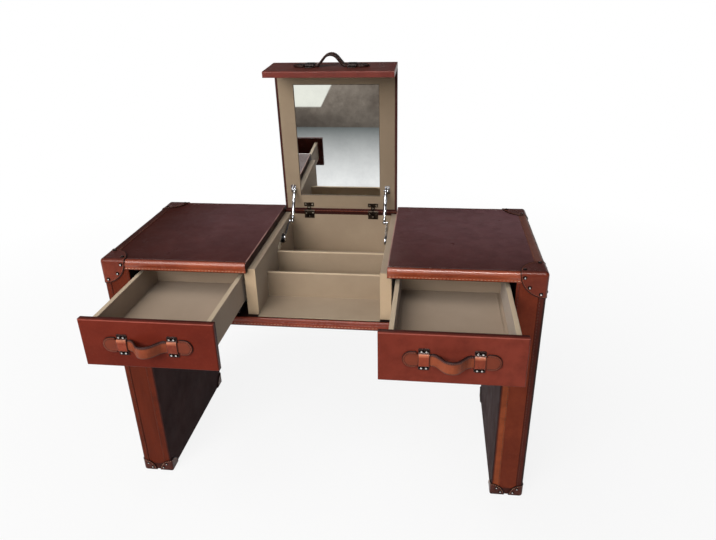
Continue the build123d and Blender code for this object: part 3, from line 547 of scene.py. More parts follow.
# pale metal of the nails' crowns: a painted highlight
nail_crown_highlight = metal("nail_painted_highlight", (240, 238, 236), (204, 198, 194), 0.16, 0.06, 90.0)
nail_rim = metal("nail_patina", (34, 26, 23), (18, 13, 12), 0.42)
chrome = metal("chrome", (206, 207, 210), (150, 151, 156), 0.07, 0.10, 70.0, 0.01)
drum_black = metal("stay_drum_black", (52, 52, 54), (26, 26, 28), 0.20)
zinc = metal("zinc_steel", (176, 178, 180), (140, 142, 146), 0.30, 0.16, 30.0)
glass = mirror_glass("mirror_glass")

# pale block on the stays' tails: a painted highlight
tail_highlight_pale = thread("stay_tail_painted_highlight", (232, 222, 200), (206, 194, 170))
pale_thread = thread("thread_pale", (222, 176, 142), (176, 122, 92))
dark_thread = thread("thread_dark", (146, 88, 62), (104, 56, 40))
black_thread = thread("thread_black", (84, 44, 34), (54, 28, 22))


def both(*names):
    """Each name twice, with left and with right in place of its star."""
    return [name.replace("*", side) for name in names for side, _ in SIDES]


FINISHES = (
    (top_hide, both("top_*")),
    (lid_hide, ["lid_panel"]),
    (rail_hide, ["back_rail"]),
    (cavity_shade_hide, ["bottom_board"]),
    (fall_hide, ["lid_fall"]),
    (drawer_hide, both("drawer_*_front")),
    (leg_hide, both("leg_*")),
    (dark_hide, both("leg_lining_*") + ["back_panel"]),
    (cap_hide, ["corner_caps"]),
    (foot_hide, ["foot_caps"]),
    (suede, both("partition_*") + ["bay_floor_lining", "bay_back_lining", "divider_front", "divider_rear"]),
    (suede_lid, ["fall_lining", "lid_frame"]),
    (suede_drawer, both("drawer_*_side_inner", "drawer_*_side_outer", "drawer_*_back", "drawer_*_floor")),
    (bronze, ["hinge_leaves_case", "hinge_leaves_lid", "hinge_pins"]),
    (screw_metal, ["case_screws", "lid_screws"]),
    (chrome, ["stay_mounts"]),
    (zinc, both("slide_rails_*", "drawer_*_runners")),
    (glass, ["lid_mirror"]),
)
for finish, names in FINISHES:
    for node_name in names:
        for material_slot in nodes[node_name].material_slots:
            material_slot.material = finish


# ---------------- mesh helpers
class Shape:
    """Collects the points and faces of many small bodies that make one piece."""

    def __init__(self):
        self.points, self.faces, self.indices = [], [], []

    def join(self, points, faces, index=0):
        """Adds a body. The index of its material is one for all of it, or a list with one a face."""
        start = len(self.points)
        self.points += points
        self.faces += [tuple(start + i for i in face) for face in faces]
        self.indices += index if isinstance(index, list) else [index] * len(faces)


def make(name, shape, body, materials, carry=as_is, sharp=35.0, instead_of=None):
    """Makes a piece from a shape given for the closed case, and lets it ride on its body."""
    mesh = bpy.data.meshes.new(name)
    mesh.from_pydata([Vector(carry(point)) * 0.001 for point in shape.points], [], shape.faces)
    for material in materials:
        mesh.materials.append(material)
    mesh.polygons.foreach_set("material_index", shape.indices)
    work = bmesh.new()
    work.from_mesh(mesh)
    bmesh.ops.remove_doubles(work, verts=work.verts, dist=0.00002)
    bmesh.ops.dissolve_degenerate(work, edges=work.edges, dist=0.00001)
    bmesh.ops.recalc_face_normals(work, faces=work.faces)
    for face in work.faces:
        face.smooth = True
    work.to_mesh(mesh)
    work.free()
    mesh.set_sharp_from_angle(angle=math.radians(sharp))
    piece = bpy.data.objects.new(name, mesh)
    bpy.context.scene.collection.objects.link(piece)
    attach(piece, body)
    if instead_of:
        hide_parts(instead_of)


def tube_faces(rings, sides, closed=False):
    """Quads between neighbouring rings, with flat ends unless the tube closes on itself."""
    faces = []
    for ring in range(rings if closed else rings - 1):
        a, b = ring * sides, (ring + 1) % rings * sides
        for k in range(sides):
            after = (k + 1) % sides
            faces.append((a + k, a + after, b + after, b + k))
    if not closed:
        faces.append(tuple(range(sides))[::-1])
        faces.append(tuple((rings - 1) * sides + k for k in range(sides)))
    return faces


def ring_of(centre, side, other, radius, count):
    """Points round a centre, in the plane of two unit vectors."""
    turns = [2 * math.pi * k / count for k in range(count)]
    return [tuple(centre + (side * math.cos(turn) + other * math.sin(turn)) * radius) for turn in turns]


def polar(radius, degrees):
    turn = math.radians(degrees)
    return radius * math.cos(turn), radius * math.sin(turn)


def smooth(value, low, high):
    """0 below low and 1 above high, with a soft start and end."""
    share = min(1.0, max(0.0, (value - low) / (high - low)))
    return share * share * (3 - 2 * share)


# ---------------- stitches
# A stitch's rings: share of its length, rise, share of its thickness.
STITCH = ((-0.5, -0.55, 0.5), (-0.3, 0.12, 0.95), (0.0, 0.3, 1.0), (0.3, 0.12, 0.95), (0.5, -0.55, 0.5))


def spaced(path, pitch):
    """Evenly spaced (middle, along, normal) places on a run of (point, normal) pairs."""
    points = [Vector(point) for point, _ in path]
    lengths = [0.0]
    for before, after in zip(points, points[1:]):
        lengths.append(lengths[-1] + (after - before).length)
    count = max(1, round(lengths[-1] / pitch))
    step = lengths[-1] / count
    places, i = [], 0
    for n in range(count):
        s = (n + 0.5) * step
        while i < len(lengths) - 2 and lengths[i + 1] < s:
            i += 1
        share = (s - lengths[i]) / max(lengths[i + 1] - lengths[i], 1e-9)
        normal = Vector(path[i][1]).lerp(Vector(path[i + 1][1]), share).normalized()
        along = (points[i + 1] - points[i]).normalized()
        places.append((points[i].lerp(points[i + 1], share), along, normal))
    return places


def sew(shape, path, pitch=9.5, length=6.6, thick=0.75):
    """Saddle stitches along a run: short bowed threads that dip into the leather at both ends."""
    for middle, along, normal in spaced(path, pitch):
        across = along.cross(normal).normalized()
        lean = rng.uniform(-0.5, 0.1)
        size = length * rng.uniform(0.92, 1.05)
        points = []
        for share, rise, girth in STITCH:
            centre = middle + along * (share * size) + across * (share * lean) + normal * rise
            points += ring_of(centre, across, normal, thick * girth, 6)
        shape.join(points, tube_faces(len(STITCH), 6))


def seam(shape, start, end, normal, *sizes):
    """Stitches along a straight line on a flat face."""
    sew(shape, [(start, normal), (end, normal)], *sizes)


# ---------------- leather strips on the boards
NEAR_CORNERS = (0.12, 0.35, 0.8, 1.5)       # where a section's straight parts are sampled from each end
STRIP_EDGE = 0.9                            # width over which a strip's long edges are rounded


def line(start, end):
    return ("line", start, end)


def arc(centre, radius, angle_from, angle_to):
    return ("arc", centre, radius, angle_from, angle_to)


def section(parts, marks):
    """(samples, length) of a cross-section of lines and arcs: a sample is (length so far, point, outward
    normal), and there is one at each of the marks on a line."""
    samples, done = [], 0.0
    for kind, *values in parts:
        if kind == "line":
            (x0, y0), (x1, y1) = values
            size = math.hypot(x1 - x0, y1 - y0)
            tx, ty = (x1 - x0) / size, (y1 - y0) / size
            near = [s for s in NEAR_CORNERS if s < size]
            marked = [mark - done for mark in marks if 0 < mark - done < size]
            for s in sorted({0.0, size, *near, *(size - s for s in near), *marked}):
                samples.append((done + s, (x0 + tx * s, y0 + ty * s), (-ty, tx)))
        else:
            (cx, cy), radius, a0, a1 = values
            size = math.radians(abs(a1 - a0)) * radius
            count = max(4, round(abs(a1 - a0) / 11))
            for n in range(count + 1):
                nx, ny = polar(1.0, a0 + (a1 - a0) * n / count)
                samples.append((done + size * n / count, (cx + radius * nx, cy + radius * ny), (nx, ny)))
        done += size
    kept = samples[:1]
    for sample in samples[1:]:
        if sample[0] - kept[-1][0] > 1e-4:
            kept.append(sample)
    return kept, done


def height_at(profile, s):
    for (s0, h0), (s1, h1) in zip(profile, profile[1:]):
        if s <= s1:
            share = max(0.0, (s - s0) / max(s1 - s0, 1e-9))
            return h0 + (h1 - h0) * (0.5 - 0.5 * math.cos(math.pi * share))
    return profile[-1][1]


def strip(shape, parts, profile, place, start, end, round_ends=(True, True)):
    """A strip of leather on a section, drawn from start to end: profile gives its height over the
    section's length, and place carries (u, v) of the section at t along the strip."""
    samples, total = section(parts, [s for s, _ in profile])
    count = max(2, round((end - start) / 14))
    stations = [(start + (end - start) * n / count, 1.0) for n in range(count + 1)]
    if round_ends[0]:
        stations[0] = (start + 1.8, 1.0)
        stations = [(start, 0.0), (start + 0.25, 0.5), (start + 0.9, 0.85)] + stations
    if round_ends[1]:
        stations[-1] = (end - 1.8, 1.0)
        stations += [(end - 0.9, 0.85), (end - 0.25, 0.5), (end, 0.0)]
    shift = rng.uniform(0, 100)
    points = []
    for t, swell in stations:
        wave = 0.5 * math.sin(t * 0.045 + shift) + 0.5 * math.sin(t * 0.11 + shift * 2.3)
        outer = []
        for s, (u, v), (nu, nv) in samples:
            rise = height_at(profile, s) * swell * (1 + 0.10 * wave)
            for near in (s, total - s):
                if near < STRIP_EDGE:
                    rise *= math.sqrt(max(0.0, 1 - (1 - near / STRIP_EDGE) ** 2))
            outer.append(place(u + nu * rise, v + nv * rise, t))
        inner = [place(u - nu * 0.4, v - nv * 0.4, t) for _, (u, v), (nu, nv) in samples]
        points += outer + inner[::-1]
    shape.join(points, tube_faces(len(stations), 2 * len(samples)))


def over_edge(width, drop, radius=EDGE):
    """A section that runs over a rounded edge: width back from it, drop down past it."""
    rounding = arc((-radius, -radius), radius, 90, 0)
    return [line((-width, 0), (-radius, 0)), rounding, line((0, -radius), (0, -drop))]


pale_seams, dark_seams, black_seams = Shape(), Shape(), Shape()
TOP_DROP = TOP - UNDER - 0.9
QUARTERS = [(face, out, side) for face, out in FACES for _, side in SIDES]

# Front and rear rails of the two tops: a padded roll over the edge, then a flat sewn band.
rolls = Shape()
profile = [(0, 0.4), (3, 1.0), (8, 2.2), (13, 2.5), (22, 2.4)]
profile += [(26.5, 1.6), (28.2, 0.5), (29.6, 0.8), (38, 0.8)]
for face, out, side in QUARTERS:
    def place(u, v, t):
        return (side * t, face + out * u, TOP + v)
    strip(rolls, over_edge(14.0, TOP_DROP, 12.0), profile, place, BAY_HALF + 0.6, 548.0, (True, False))
    y, z = face + out * 0.85, UNDER + 4.7
    seam(pale_seams, (side * (BAY_HALF + 3), y, z), (side * 533, y, z), (0, out, 0))
make("top_rolls", rolls, "case", [roll_hide])

# Bindings along the outer edges of the tops.
bindings = Shape()
profile = [(0, 0.9), (10, 1.0), (18, 1.5), (34, 1.5), (40, 1.0), (50, 0.9)]
for _, side in SIDES:
    def place(u, v, t):
        return (side * (HALF + u), t, TOP + v)
    strip(bindings, over_edge(26.5, TOP_DROP), profile, place, FRONT + 50, BACK - 50, (False, False))
    x, z = side * (HALF - 23.4), TOP + 0.95
    seam(dark_seams, (x, FRONT + 71, z), (x, BACK - 71, z), (0, 0, 1))
    x, z = side * (HALF + 0.95), UNDER + 4.1
    seam(dark_seams, (x, FRONT + 66, z), (x, BACK - 66, z), (side, 0, 0))
make("top_bindings", bindings, "case", [edge_hide])

# Slanted stitches on the edges of the tops along the bay.
for _, side in SIDES:
    x = side * BAY_HALF
    for n in range(46):
        y = FRONT + 12 + n * 9.6
        low, high = (x, y, UNDER + 10.0), (x, y + 5.0, UNDER + 19.5)
        seam(black_seams, low, high, (-side, 0, 0), 11.0, 9.5, 0.55)

# Bindings over the outer upright edges of the legs, front and back.
posts = Shape()
profile = [(0, 0.9), (10, 1.1), (28, 1.1), (38, 0.9)]
for face, out, side in QUARTERS:
    def place(u, v, t):
        return (side * (HALF + u), face + out * v, t)
    strip(posts, over_edge(LEG_BINDING, LEG_BINDING), profile, place, 30, 700, (False, False))
    x, y = side * (HALF - 15.2), face + out * 0.9
    seam(black_seams, (x, y, 42), (x, y, 681), (0, out, 0))
    x, y = side * (HALF + 0.9), face - out * 15.2
    seam(dark_seams, (x, y, 42), (x, y, 681), (side, 0, 0))
make("leg_bindings", posts, "case", [binding_hide])

# Sewn strips over the joint of leg and leg lining, narrower above the bottom board's underside.
joints = Shape()
profile = [(0, 0.8), (40, 0.8)]
for face, out, side in QUARTERS:
    def place(u, v, t):
        return (side * u, face + out * v, t)
    low, high = ([line((inner, 0), (JOINT_OUT, 0))] for inner in (LINING_IN + 2.0, LEG_IN + 0.4))
    strip(joints, low, profile, place, 24, BOARD_UNDER - 0.6, (False, True))
    strip(joints, high, profile, place, BOARD_UNDER, UNDER - 2.0)
    x, y = side * (LEG_IN + 5.4), face + out * 0.8
    seam(black_seams, (x, y, 40), (x, y, UNDER - 4.5), (0, out, 0))
make("leg_joint_strips", joints, "case", [front_hide])

# Front and rear edge of the bottom board: a roll above, a dark groove, and a sewn strip below.
board = Shape()
EDGES = (
    (
        [arc((-6, -6), 6, 62, 0), line((0, -6), (0, -24.5))],
        [(0, 0.02), (4, 0.8), (8, 1.4), (11.5, 1.1), (13, 0.12), (14.5, 0.85), (40, 0.85)],
    ),
    ([line((0, -2), (0, -25.5))], [(0, 0.9), (4, 1.4), (8.5, 1.1), (10, 0.12), (11.5, 0.85), (40, 0.85)]),
)
for (face, out), (parts, profile) in zip(FACES, EDGES):
    def place(u, v, t):
        return (t, face + out * u, BOARD_TOP + v)
    strip(board, parts, profile, place, -LEG_IN + 0.8, LEG_IN - 0.8)
    y, z = face + out * 0.85, BOARD_UNDER + 7.7
    seam(pale_seams, (-506, y, z), (506, y, z), (0, out, 0))
make("board_rolls", board, "case", [board_hide])


# ---------------- corner and foot caps
CORNERS = [(x_side, face, y_side) for _, x_side in SIDES for face, y_side in FACES]


def angles(start, end, step):
    """Evenly spaced angles in radians, from a start to an end by about a step, all in degrees."""
    count = max(2, round(abs(end - start) / step))
    return [math.radians(start + (end - start) * n / count) for n in range(count + 1)]


def mirrored(path):
    """A run with its X and Y exchanged."""
    return [((y, x, z), (ny, nx, nz)) for (x, y, z), (nx, ny, nz) in path]


def cap_run(reach, upright, level, with_top=True):
    """(point, normal) pairs round a cap at a corner at the origin, the case filling +X, +Y and -Z. Upright
    and level are the radii of the case's edges there."""
    flat = math.sqrt(reach**2 - SKIN**2)
    low, high = math.degrees(math.asin(level / flat)), math.degrees(math.acos(upright / flat))
    front = [((flat * math.cos(a), -SKIN, -flat * math.sin(a)), (0, -1, 0)) for a in angles(high, low, 6)]
    round_edge = []
    for a in angles(45, 0, 11):
        x, y = upright - (upright + SKIN) * math.sin(a), upright - (upright + SKIN) * math.cos(a)
        z = -math.sqrt(reach**2 - x * x - y * y)
        round_edge.append(((x, y, z), (-math.sin(a), -math.cos(a), 0)))
    side, start = mirrored(front)[::-1], mirrored(round_edge)[::-1]
    if not with_top:
        return side + start + round_edge[1:] + front
    over = []
    for a in angles(0, 90, 15):
        y, z = level - (level + SKIN) * math.cos(a), -level + (level + SKIN) * math.sin(a)
        over.append(((math.sqrt(reach**2 - y * y - z * z), y, z), (0, -math.cos(a), math.sin(a))))
    crown = [((flat * math.cos(a), flat * math.sin(a), SKIN), (0, 0, 1)) for a in angles(low, 90 - low, 6)]
    return round_edge + front[1:] + over[1:] + crown[1:] + mirrored(over)[::-1][1:] + side[1:] + start[1:]


def carried(path, x_side, y_side, corner, up):
    """Carries a cap's run from the origin to a corner of the case; it extends against both sides."""
    cx, cy, cz = corner
    moved = []
    for (x, y, z), (nx, ny, nz) in path:
        moved.append(((cx - x_side * x, cy - y_side * y, cz + up * z), (-x_side * nx, -y_side * ny, up * nz)))
    return moved


def bead(shape, path, radius, closed, sink):
    """A thin round bead along a run, sunk a little into its face."""
    points, rings = [Vector(point) for point, _ in path], []
    last = len(points) - 1
    for i, (_, normal) in enumerate(path):
        before = points[i - 1 if closed or i > 0 else i]
        after = points[(i + 1) % len(points) if closed or i < last else i]
        normal = Vector(normal)
        across = (after - before).normalized().cross(normal).normalized()
        rings += ring_of(points[i] - normal * sink, across, normal, radius, 8)
    shape.join(rings, tube_faces(len(points), 8, closed))


rims = Shape()
for x_side, face, y_side in CORNERS:
    corner = (x_side * HALF, face, TOP)
    bead(rims, carried(cap_run(CAP - 0.3, EDGE, EDGE), x_side, y_side, corner, 1)[:-1], 1.0, True, 0.35)
    sewn = carried(cap_run(CAP - 3.4, EDGE, EDGE), x_side, y_side, corner, 1)
    sew(dark_seams, sewn + sewn[:1], 6.2, 4.2, 0.6)
    for x_corner, out, upright in ((HALF, x_side, EDGE), (LINING_IN, -x_side, SKIN)):
        corner = (x_side * x_corner, face, SKIN)
        rim = carried(cap_run(FOOT_CAP - 0.3, upright, SKIN, False), out, y_side, corner, -1)
        bead(rims, rim, 0.9, False, 0.3)
        sewn = carried(cap_run(FOOT_CAP - 3.2, upright, SKIN, False), out, y_side, corner, -1)
        sew(pale_seams, sewn, 6.2, 3.6, 0.6)
make("cap_rims", rims, "case", [burnished], sharp=80.0)


# ---------------- domed nails
# A nail's rings: radius, rise. The darker metal reaches from its underside to the last but one of them;
# # the bright metal of the crown above it is a painted highlight.
NAIL = ((5.4, 0.0), (5.4, 0.4), (4.8, 0.7), (4.5, 1.1), (4.0, 1.8), (3.2, 2.5), (2.2, 3.0), (1.1, 3.3))
NAIL_SIDES, NAIL_HEIGHT = 16, 3.4


def nail(shape, at, out, size=1.0):
    """A domed nail head with a thin flange and a bright crown that is a painted highlight, standing on a
    face.
    """
    at, out = Vector(at), Vector(out).normalized()
    side = out.orthogonal().normalized()
    other = out.cross(side)
    points = []
    for radius, rise in NAIL:
        points += ring_of(at + out * (rise * size), side, other, radius * size, NAIL_SIDES)
    last, tip = len(points) - NAIL_SIDES, len(points)
    points.append(tuple(at + out * (NAIL_HEIGHT * size)))
    *bands, bottom, _ = tube_faces(len(NAIL), NAIL_SIDES)
    faces = [bottom, *bands] + [(last + k, last + (k + 1) % NAIL_SIDES, tip) for k in range(NAIL_SIDES)]
    shape.join(points, faces, [1] * (len(faces) - 2 * NAIL_SIDES) + [0] * (2 * NAIL_SIDES))


heads = Shape()
for x_side, face, y_side in CORNERS:
    y_face = face + y_side * SKIN
    for degrees in (12, 42, 76):
        inward, down = polar(CAP_NAIL, degrees)
        nail(heads, (x_side * (HALF - inward), y_face, TOP - down), (0, y_side, 0))
        nail(heads, (x_side * (HALF + SKIN), face - y_side * inward, TOP - down), (x_side, 0, 0))
    near, far = polar(CAP_NAIL, 76)
    for x_in, y_in in ((far, near), (near, far)):
        nail(heads, (x_side * (HALF - x_in), face - y_side * y_in, TOP + SKIN), (0, 0, 1))
    for x_corner, way in ((HALF, -1), (LINING_IN, 1)):
        for degrees in (22, 58):
            inward, up = polar(FOOT_NAIL, degrees)
            nail(heads, (x_side * (x_corner + way * inward), y_face, SKIN + up), (0, y_side, 0), 0.8)
make("cap_nail_heads", heads, "case", [nail_crown_highlight, nail_rim], sharp=50.0, instead_of="cap_nails")


# ---------------- lid stays
def lathe(shape, start, axis, profile, sides=20, index=0):
    """A turned body: profile is its (length along the axis, radius) from one tip to the other."""
    start, axis = Vector(start), Vector(axis).normalized()
    side = axis.orthogonal().normalized()
    other = axis.cross(side)
    points = []
    for length, radius in profile:
        points += ring_of(start + axis * length, side, other, radius, sides)
    shape.join(points, tube_faces(len(profile), sides), index)


def ball(centre, radius):
    """Profile of a ball from pole to pole."""
    steps = [math.pi * n / 8 for n in range(9)]
    return [(centre - radius * math.cos(a), max(0.05, radius * math.sin(a))) for a in steps]


# Round a bar's section: share of its half height, share of its thickness.
BAR = (
    (-1, 0.12), (-0.8, 0.0), (0, -0.02), (0.8, 0.0), (1, 0.12),
    (1, 0.88), (0.8, 1.0), (0, 1.04), (-0.8, 1.0), (-1, 0.88),
)


def bar(shape, start, end, side, x_near, stations, index=0):
    """A flat bar in a Y-Z plane: a station is (length, half height, thickness outwards from x_near)."""
    (y0, z0), (y1, z1) = start, end
    size = math.dist(start, end)
    dy, dz = (y1 - y0) / size, (z1 - z0) / size
    points = []
    for length, half, thick in stations:
        for u, v in BAR:
            y, z = y0 + dy * length - dz * half * u, z0 + dz * length + dy * half * u
            points.append((side * (x_near + thick * v), y, z))
    shape.join(points, tube_faces(len(stations), len(BAR)), index)


def rounded(middle, offsets, radius, least, thick):
    """Stations of a bar's round part, at offsets along the bar from the middle of the round."""
    return [(middle + s, max(least, math.sqrt(max(0.0, radius**2 - s * s))), thick) for s in offsets]


# Places (Y, Z) of the stays with the lid closed, and distances from the centre plane.
MOUNT, KNEE, FOOT, TAIL = (371.5, 812.0), (316.5, 722.0), (237.5, 692.0), (185.5, 682.0)
LINK_X, ARM_X, HUB_X = 151.1, 157.5, 161.9
PLATE = 2.5                                 # thickness of a stay's foot plate

# The upper arm: head ball, neck, barrel with its collars, rod and knee ball; then the cap of its pivot.
reach = math.dist(MOUNT, KNEE)
LINK = ball(0.0, 5.3)[:-2]
LINK += [(5.6, 2.9), (9.2, 2.9), (9.6, 4.2), (11.0, 4.9), (12.4, 4.2), (12.8, 3.5), (13.6, 3.5)]
LINK += [(14.0, 4.8), (15.0, 5.4), (16.2, 5.6), (44.0, 5.6), (44.6, 5.2), (45.4, 5.2), (46.0, 5.6)]
LINK += [(80.6, 5.4), (81.6, 5.0), (82.4, 4.2), (82.8, 3.3), (89.5, 3.3), (90.4, 3.6)]
LINK += [(91.6, 4.8), (93.4, 5.6), (95.2, 5.7), (97.0, 5.0), (98.2, 3.8), (99.2, 3.2)]
LINK += ball(reach, 6.0)[2:]
HEAD_CAP = [(0, 0.1), (0, 2.6), (0.5, 3.2), (1.2, 3.4), (2.0, 3.4)]

# The lower arm from its foot to the knee.
reach = math.dist(FOOT, KNEE)
ARM = rounded(0.0, (-12.9, -12.2, -10.5, -8.0, -4.0, 0.0, 4.0, 8.0, 10.5), 13.0, 0.8, 4.0)
ARM += [(12.5, 6.4, 4.2), (15.0, 5.4, 4.8), (18.0, 5.0, 6.2), (23.0, 5.4, 7.4), (45.0, 5.4, 7.4)]
ARM += [(reach - 20.0, 5.2, 7.0), (reach - 14.0, 4.8, 5.4), (reach - 9.0, 4.9, 4.3)]
ARM += rounded(reach, (-5.0, -2.5, 0.0, 2.0, 4.0, 5.2, 5.8), 6.0, 0.8, 4.0)
KNEE_CAP = [(-0.2, 3.0), (0.6, 3.6), (1.4, 3.2), (2.0, 2.0), (2.2, 0.1)]

# The foot plate, the drum on it, a pale block on its tail that is a painted highlight, and the pin.
reach = math.dist(FOOT, TAIL)
BASE = rounded(0.0, (-15.4, -14.6, -12.0, -8.0, -4.0, 0.0, 4.0, 8.0, 12.0), 15.492, 1.2, PLATE)
BASE += [(14.5, 8.4, PLATE), (22.0, 8.0, PLATE), (reach - 6.0, 8.0, PLATE)]
BASE += rounded(reach, (0.0, 3.0, 5.5, 7.2, 7.9), 8.0, 1.0, PLATE)
DRUM = [(-0.3, 14.6), (0.0, 14.9), (1.3, 14.9), (1.7, 13.8), (2.1, 13.8), (2.5, 14.9), (4.6, 14.9)]
DRUM += [(5.3, 14.2), (5.6, 12.6), (5.6, 0.1)]
TAIL_HIGHLIGHT_BLOCK = [(reach - 16.0, 8.4, -3.6), (reach - 15.0, 8.9, -4.4), (reach, 8.9, -4.4)]
TAIL_HIGHLIGHT_BLOCK += rounded(reach, (3.0, 5.5, 7.6, 8.6), 8.888, 1.0, -4.4)
PIN = [(0.0, 2.0), (4.2, 2.0), (4.3, 1.6), (4.4, 0.1)]

for name, side in SIDES:
    out, inward = (side, 0, 0), (-side, 0, 0)
    link = Shape()
    lathe(link, (side * LINK_X, *MOUNT), (0, KNEE[0] - MOUNT[0], KNEE[1] - MOUNT[1]), LINK, 24)
    lathe(link, (side * (LINK_X - 6.2), *MOUNT), out, HEAD_CAP, 16)
    damper, arm = f"stay_damper_{name}", f"stay_arm_{name}"
    make(f"stay_link_{name}", link, damper, [chrome], sharp=50.0, instead_of=damper)

    lower = Shape()
    bar(lower, FOOT, KNEE, side, ARM_X, ARM)
    lathe(lower, (side * (ARM_X + 4.0), *KNEE), out, KNEE_CAP, 16)
    make(f"stay_lower_{name}", lower, arm, [chrome], sharp=50.0, instead_of=arm)

    foot = Shape()
    bar(foot, FOOT, TAIL, side, PARTITION_IN - PLATE, BASE)
    lathe(foot, (side * (PARTITION_IN - PLATE), *FOOT), inward, DRUM, 28, 1)
    # the pale tail block, a painted highlight
    bar(foot, FOOT, TAIL, side, PARTITION_IN, TAIL_HIGHLIGHT_BLOCK, 2)
    lathe(foot, (side * HUB_X, *FOOT), inward, PIN, 14)
    finishes, bracket = [chrome, drum_black, tail_highlight_pale], f"stay_bracket_{name}"
    make(f"stay_foot_{name}", foot, "case", finishes, sharp=50.0, instead_of=bracket)


# ---------------- lining pads in the drawers
PAD_GAP, PAD_CORNER, PAD_RISE = 9.0, 4.0, 2.2
# A pad's rings: inset, rise.
PAD = ((0.0, 0.0), (0.0, PAD_RISE * 0.55), (0.5, PAD_RISE * 0.85), (1.6, PAD_RISE), (5.0, PAD_RISE + 0.15))
half_x, half_y = (BOX_OUT - BOX_IN) / 2 - PAD_GAP, (BOX_BACK - BOX_FRONT) / 2 - PAD_GAP

# A thin pad with rounded corners and a soft shoulder on each drawer's floor.
for name, side in SIDES:
    pad, points = Shape(), []
    for inset, rise in PAD:
        radius = max(0.6, PAD_CORNER - inset)
        for x_out, y_out, start in ((1, 1, 0), (-1, 1, 90), (-1, -1, 180), (1, -1, 270)):
            x = side * (BOX_IN + BOX_OUT) / 2 + x_out * (half_x - inset - radius)
            y = (BOX_FRONT + BOX_BACK) / 2 + y_out * (half_y - inset - radius)
            for n in range(5):
                dx, dy = polar(radius, start + 22.5 * n)
                points.append((x + dx, y + dy, BOX_FLOOR + rise))
    pad.join(points, tube_faces(len(PAD), 20))
    make(f"drawer_{name}_floor_pad", pad, f"drawer_{name}", [suede_drawer], opened_drawer)


# ---------------- handles
def sweep(shape, stations, levels, centre_rise, place):
    """A flat padded band. A station is (along, its gain a unit of inset, half width, its gain, place of the
    middle); levels are (inset, rise) pairs from the underside's edge to the crown; place carries (along,
    across, rise). The faces round its edge get the second material."""
    points = []
    for along, along_gain, across, across_gain, middle in stations:
        near = [(along - along_gain * inset, across - across_gain * inset, rise) for inset, rise in levels]
        far = [(a, -b, rise) for a, b, rise in reversed(near)]
        ring = [(middle, 0.0, 0.0), *near, (middle, 0.0, centre_rise), *far]
        points += [place(*point) for point in ring]
    size, top = 2 * len(levels) + 2, len(levels) + 1
    edge_levels = sum(1 for _, rise in levels if rise < centre_rise - 1.0)
    faces = tube_faces(len(stations), size)[:-2]
    indices = [int(1 <= min(k, size - 1 - k) < edge_levels) for k in range(size)] * (len(stations) - 1)
    for base in (0, (len(stations) - 1) * size):
        faces.append((base, base + 1, base + size - 1))
        for k in range(1, len(levels)):
            faces.append((base + k, base + k + 1, base + size - k - 1, base + size - k))
        faces.append((base + top - 1, base + top, base + top + 1))
        indices += [0, *(int(k < edge_levels) for k in range(1, len(levels))), 0]
    shape.join(points, faces, indices)


def both_ways(stations):
    """Stations that start at the middle of a band, with their mirror images before them."""
    before = [(-s, -gain, half, half_gain, -middle) for s, gain, half, half_gain, middle in stations[1:]]
    return before[::-1] + stations


# A strap's underside from its crown: a bend outwards, a slant, a bend inwards, and flat to its round end.
BEND, BEND_HEIGHT, SLOPE, SLANT = 21.4, 9.6, math.radians(50), 20.5
FLAT_FROM = 45.97
CREST = BEND * SLOPE
FOOT_START = CREST + SLANT
FLAT_START = FOOT_START + CREST
TIP_MIDDLE = FLAT_START + STRAP_REACH - FLAT_FROM - TIP
STRAP_CROWN, LOOP_CROWN = 5.0, 2.8
# Levels of a strap and of a loop: inset from the edge, rise.
STRAP_LEVELS = ((0.9, 0.0), (0.15, 0.45), (0.0, 1.2), (0.0, 3.2))
STRAP_LEVELS += ((0.25, 3.95), (0.9, 4.5), (2.4, 4.8), (4.6, 4.95))
LOOP_LEVELS = ((0.5, 0.0), (0.0, 0.5), (0.0, 1.7), (0.2, 2.3), (0.8, 2.65), (2.0, 2.78))


def handle_line(s):
    """Underside of a strap at a length s from its crown: (u, outwards) and its outward normal."""
    side, s = (1 if s >= 0 else -1), abs(s)
    if s <= CREST:
        a = s / BEND
        u, out, nu, no = BEND * math.sin(a), BEND_HEIGHT + BEND * math.cos(a), math.sin(a), math.cos(a)
    elif s <= FOOT_START:
        nu, no = math.sin(SLOPE), math.cos(SLOPE)
        u, out = BEND * nu + (s - CREST) * no, BEND_HEIGHT + BEND * no - (s - CREST) * nu
    elif s <= FLAT_START:
        a = (FLAT_START - s) / BEND
        nu, no = math.sin(a), math.cos(a)
        u, out = FLAT_FROM - BEND * nu, BEND - BEND * no
    else:
        u, out, nu, no = FLAT_FROM + s - FLAT_START, 0.0, 0.0, 1.0
    return side * u, out, side * nu, no


def strap_half(s):
    """Half width of a strap at a length s from its crown."""
    u = abs(handle_line(s)[0])
    return 16.0 - 2.0 * smooth(u, 43.5, 47.0) + 6.5 * smooth(u, 76.4, 79.4)


def length_at(u):
    """Length from the crown at a distance u from the middle, on the strap's flat part."""
    return FLAT_START + u - FLAT_FROM


def strap_stations():
    run = [CREST * n / 6 for n in range(7)] + [CREST + SLANT / 2, FOOT_START]
    run += [FOOT_START + CREST * n / 6 for n in range(1, 7)]
    run += [length_at(u) for u in (47.0, 49.5, 56, 62, 68, 74, 76.4, 77.2, 78.0, 78.7, 79.4, 81.0, 85.0)]
    stations = [(s, 0.0, strap_half(s), 1.0, s) for s in run]
    for degrees in (0, 12, 24, 36, 48, 60, 70, 79, 85, 90):
        c, s = polar(1.0, degrees)
        stations.append((TIP_MIDDLE + TIP * s, s, TIP * c, c, TIP_MIDDLE))
    return both_ways(stations)


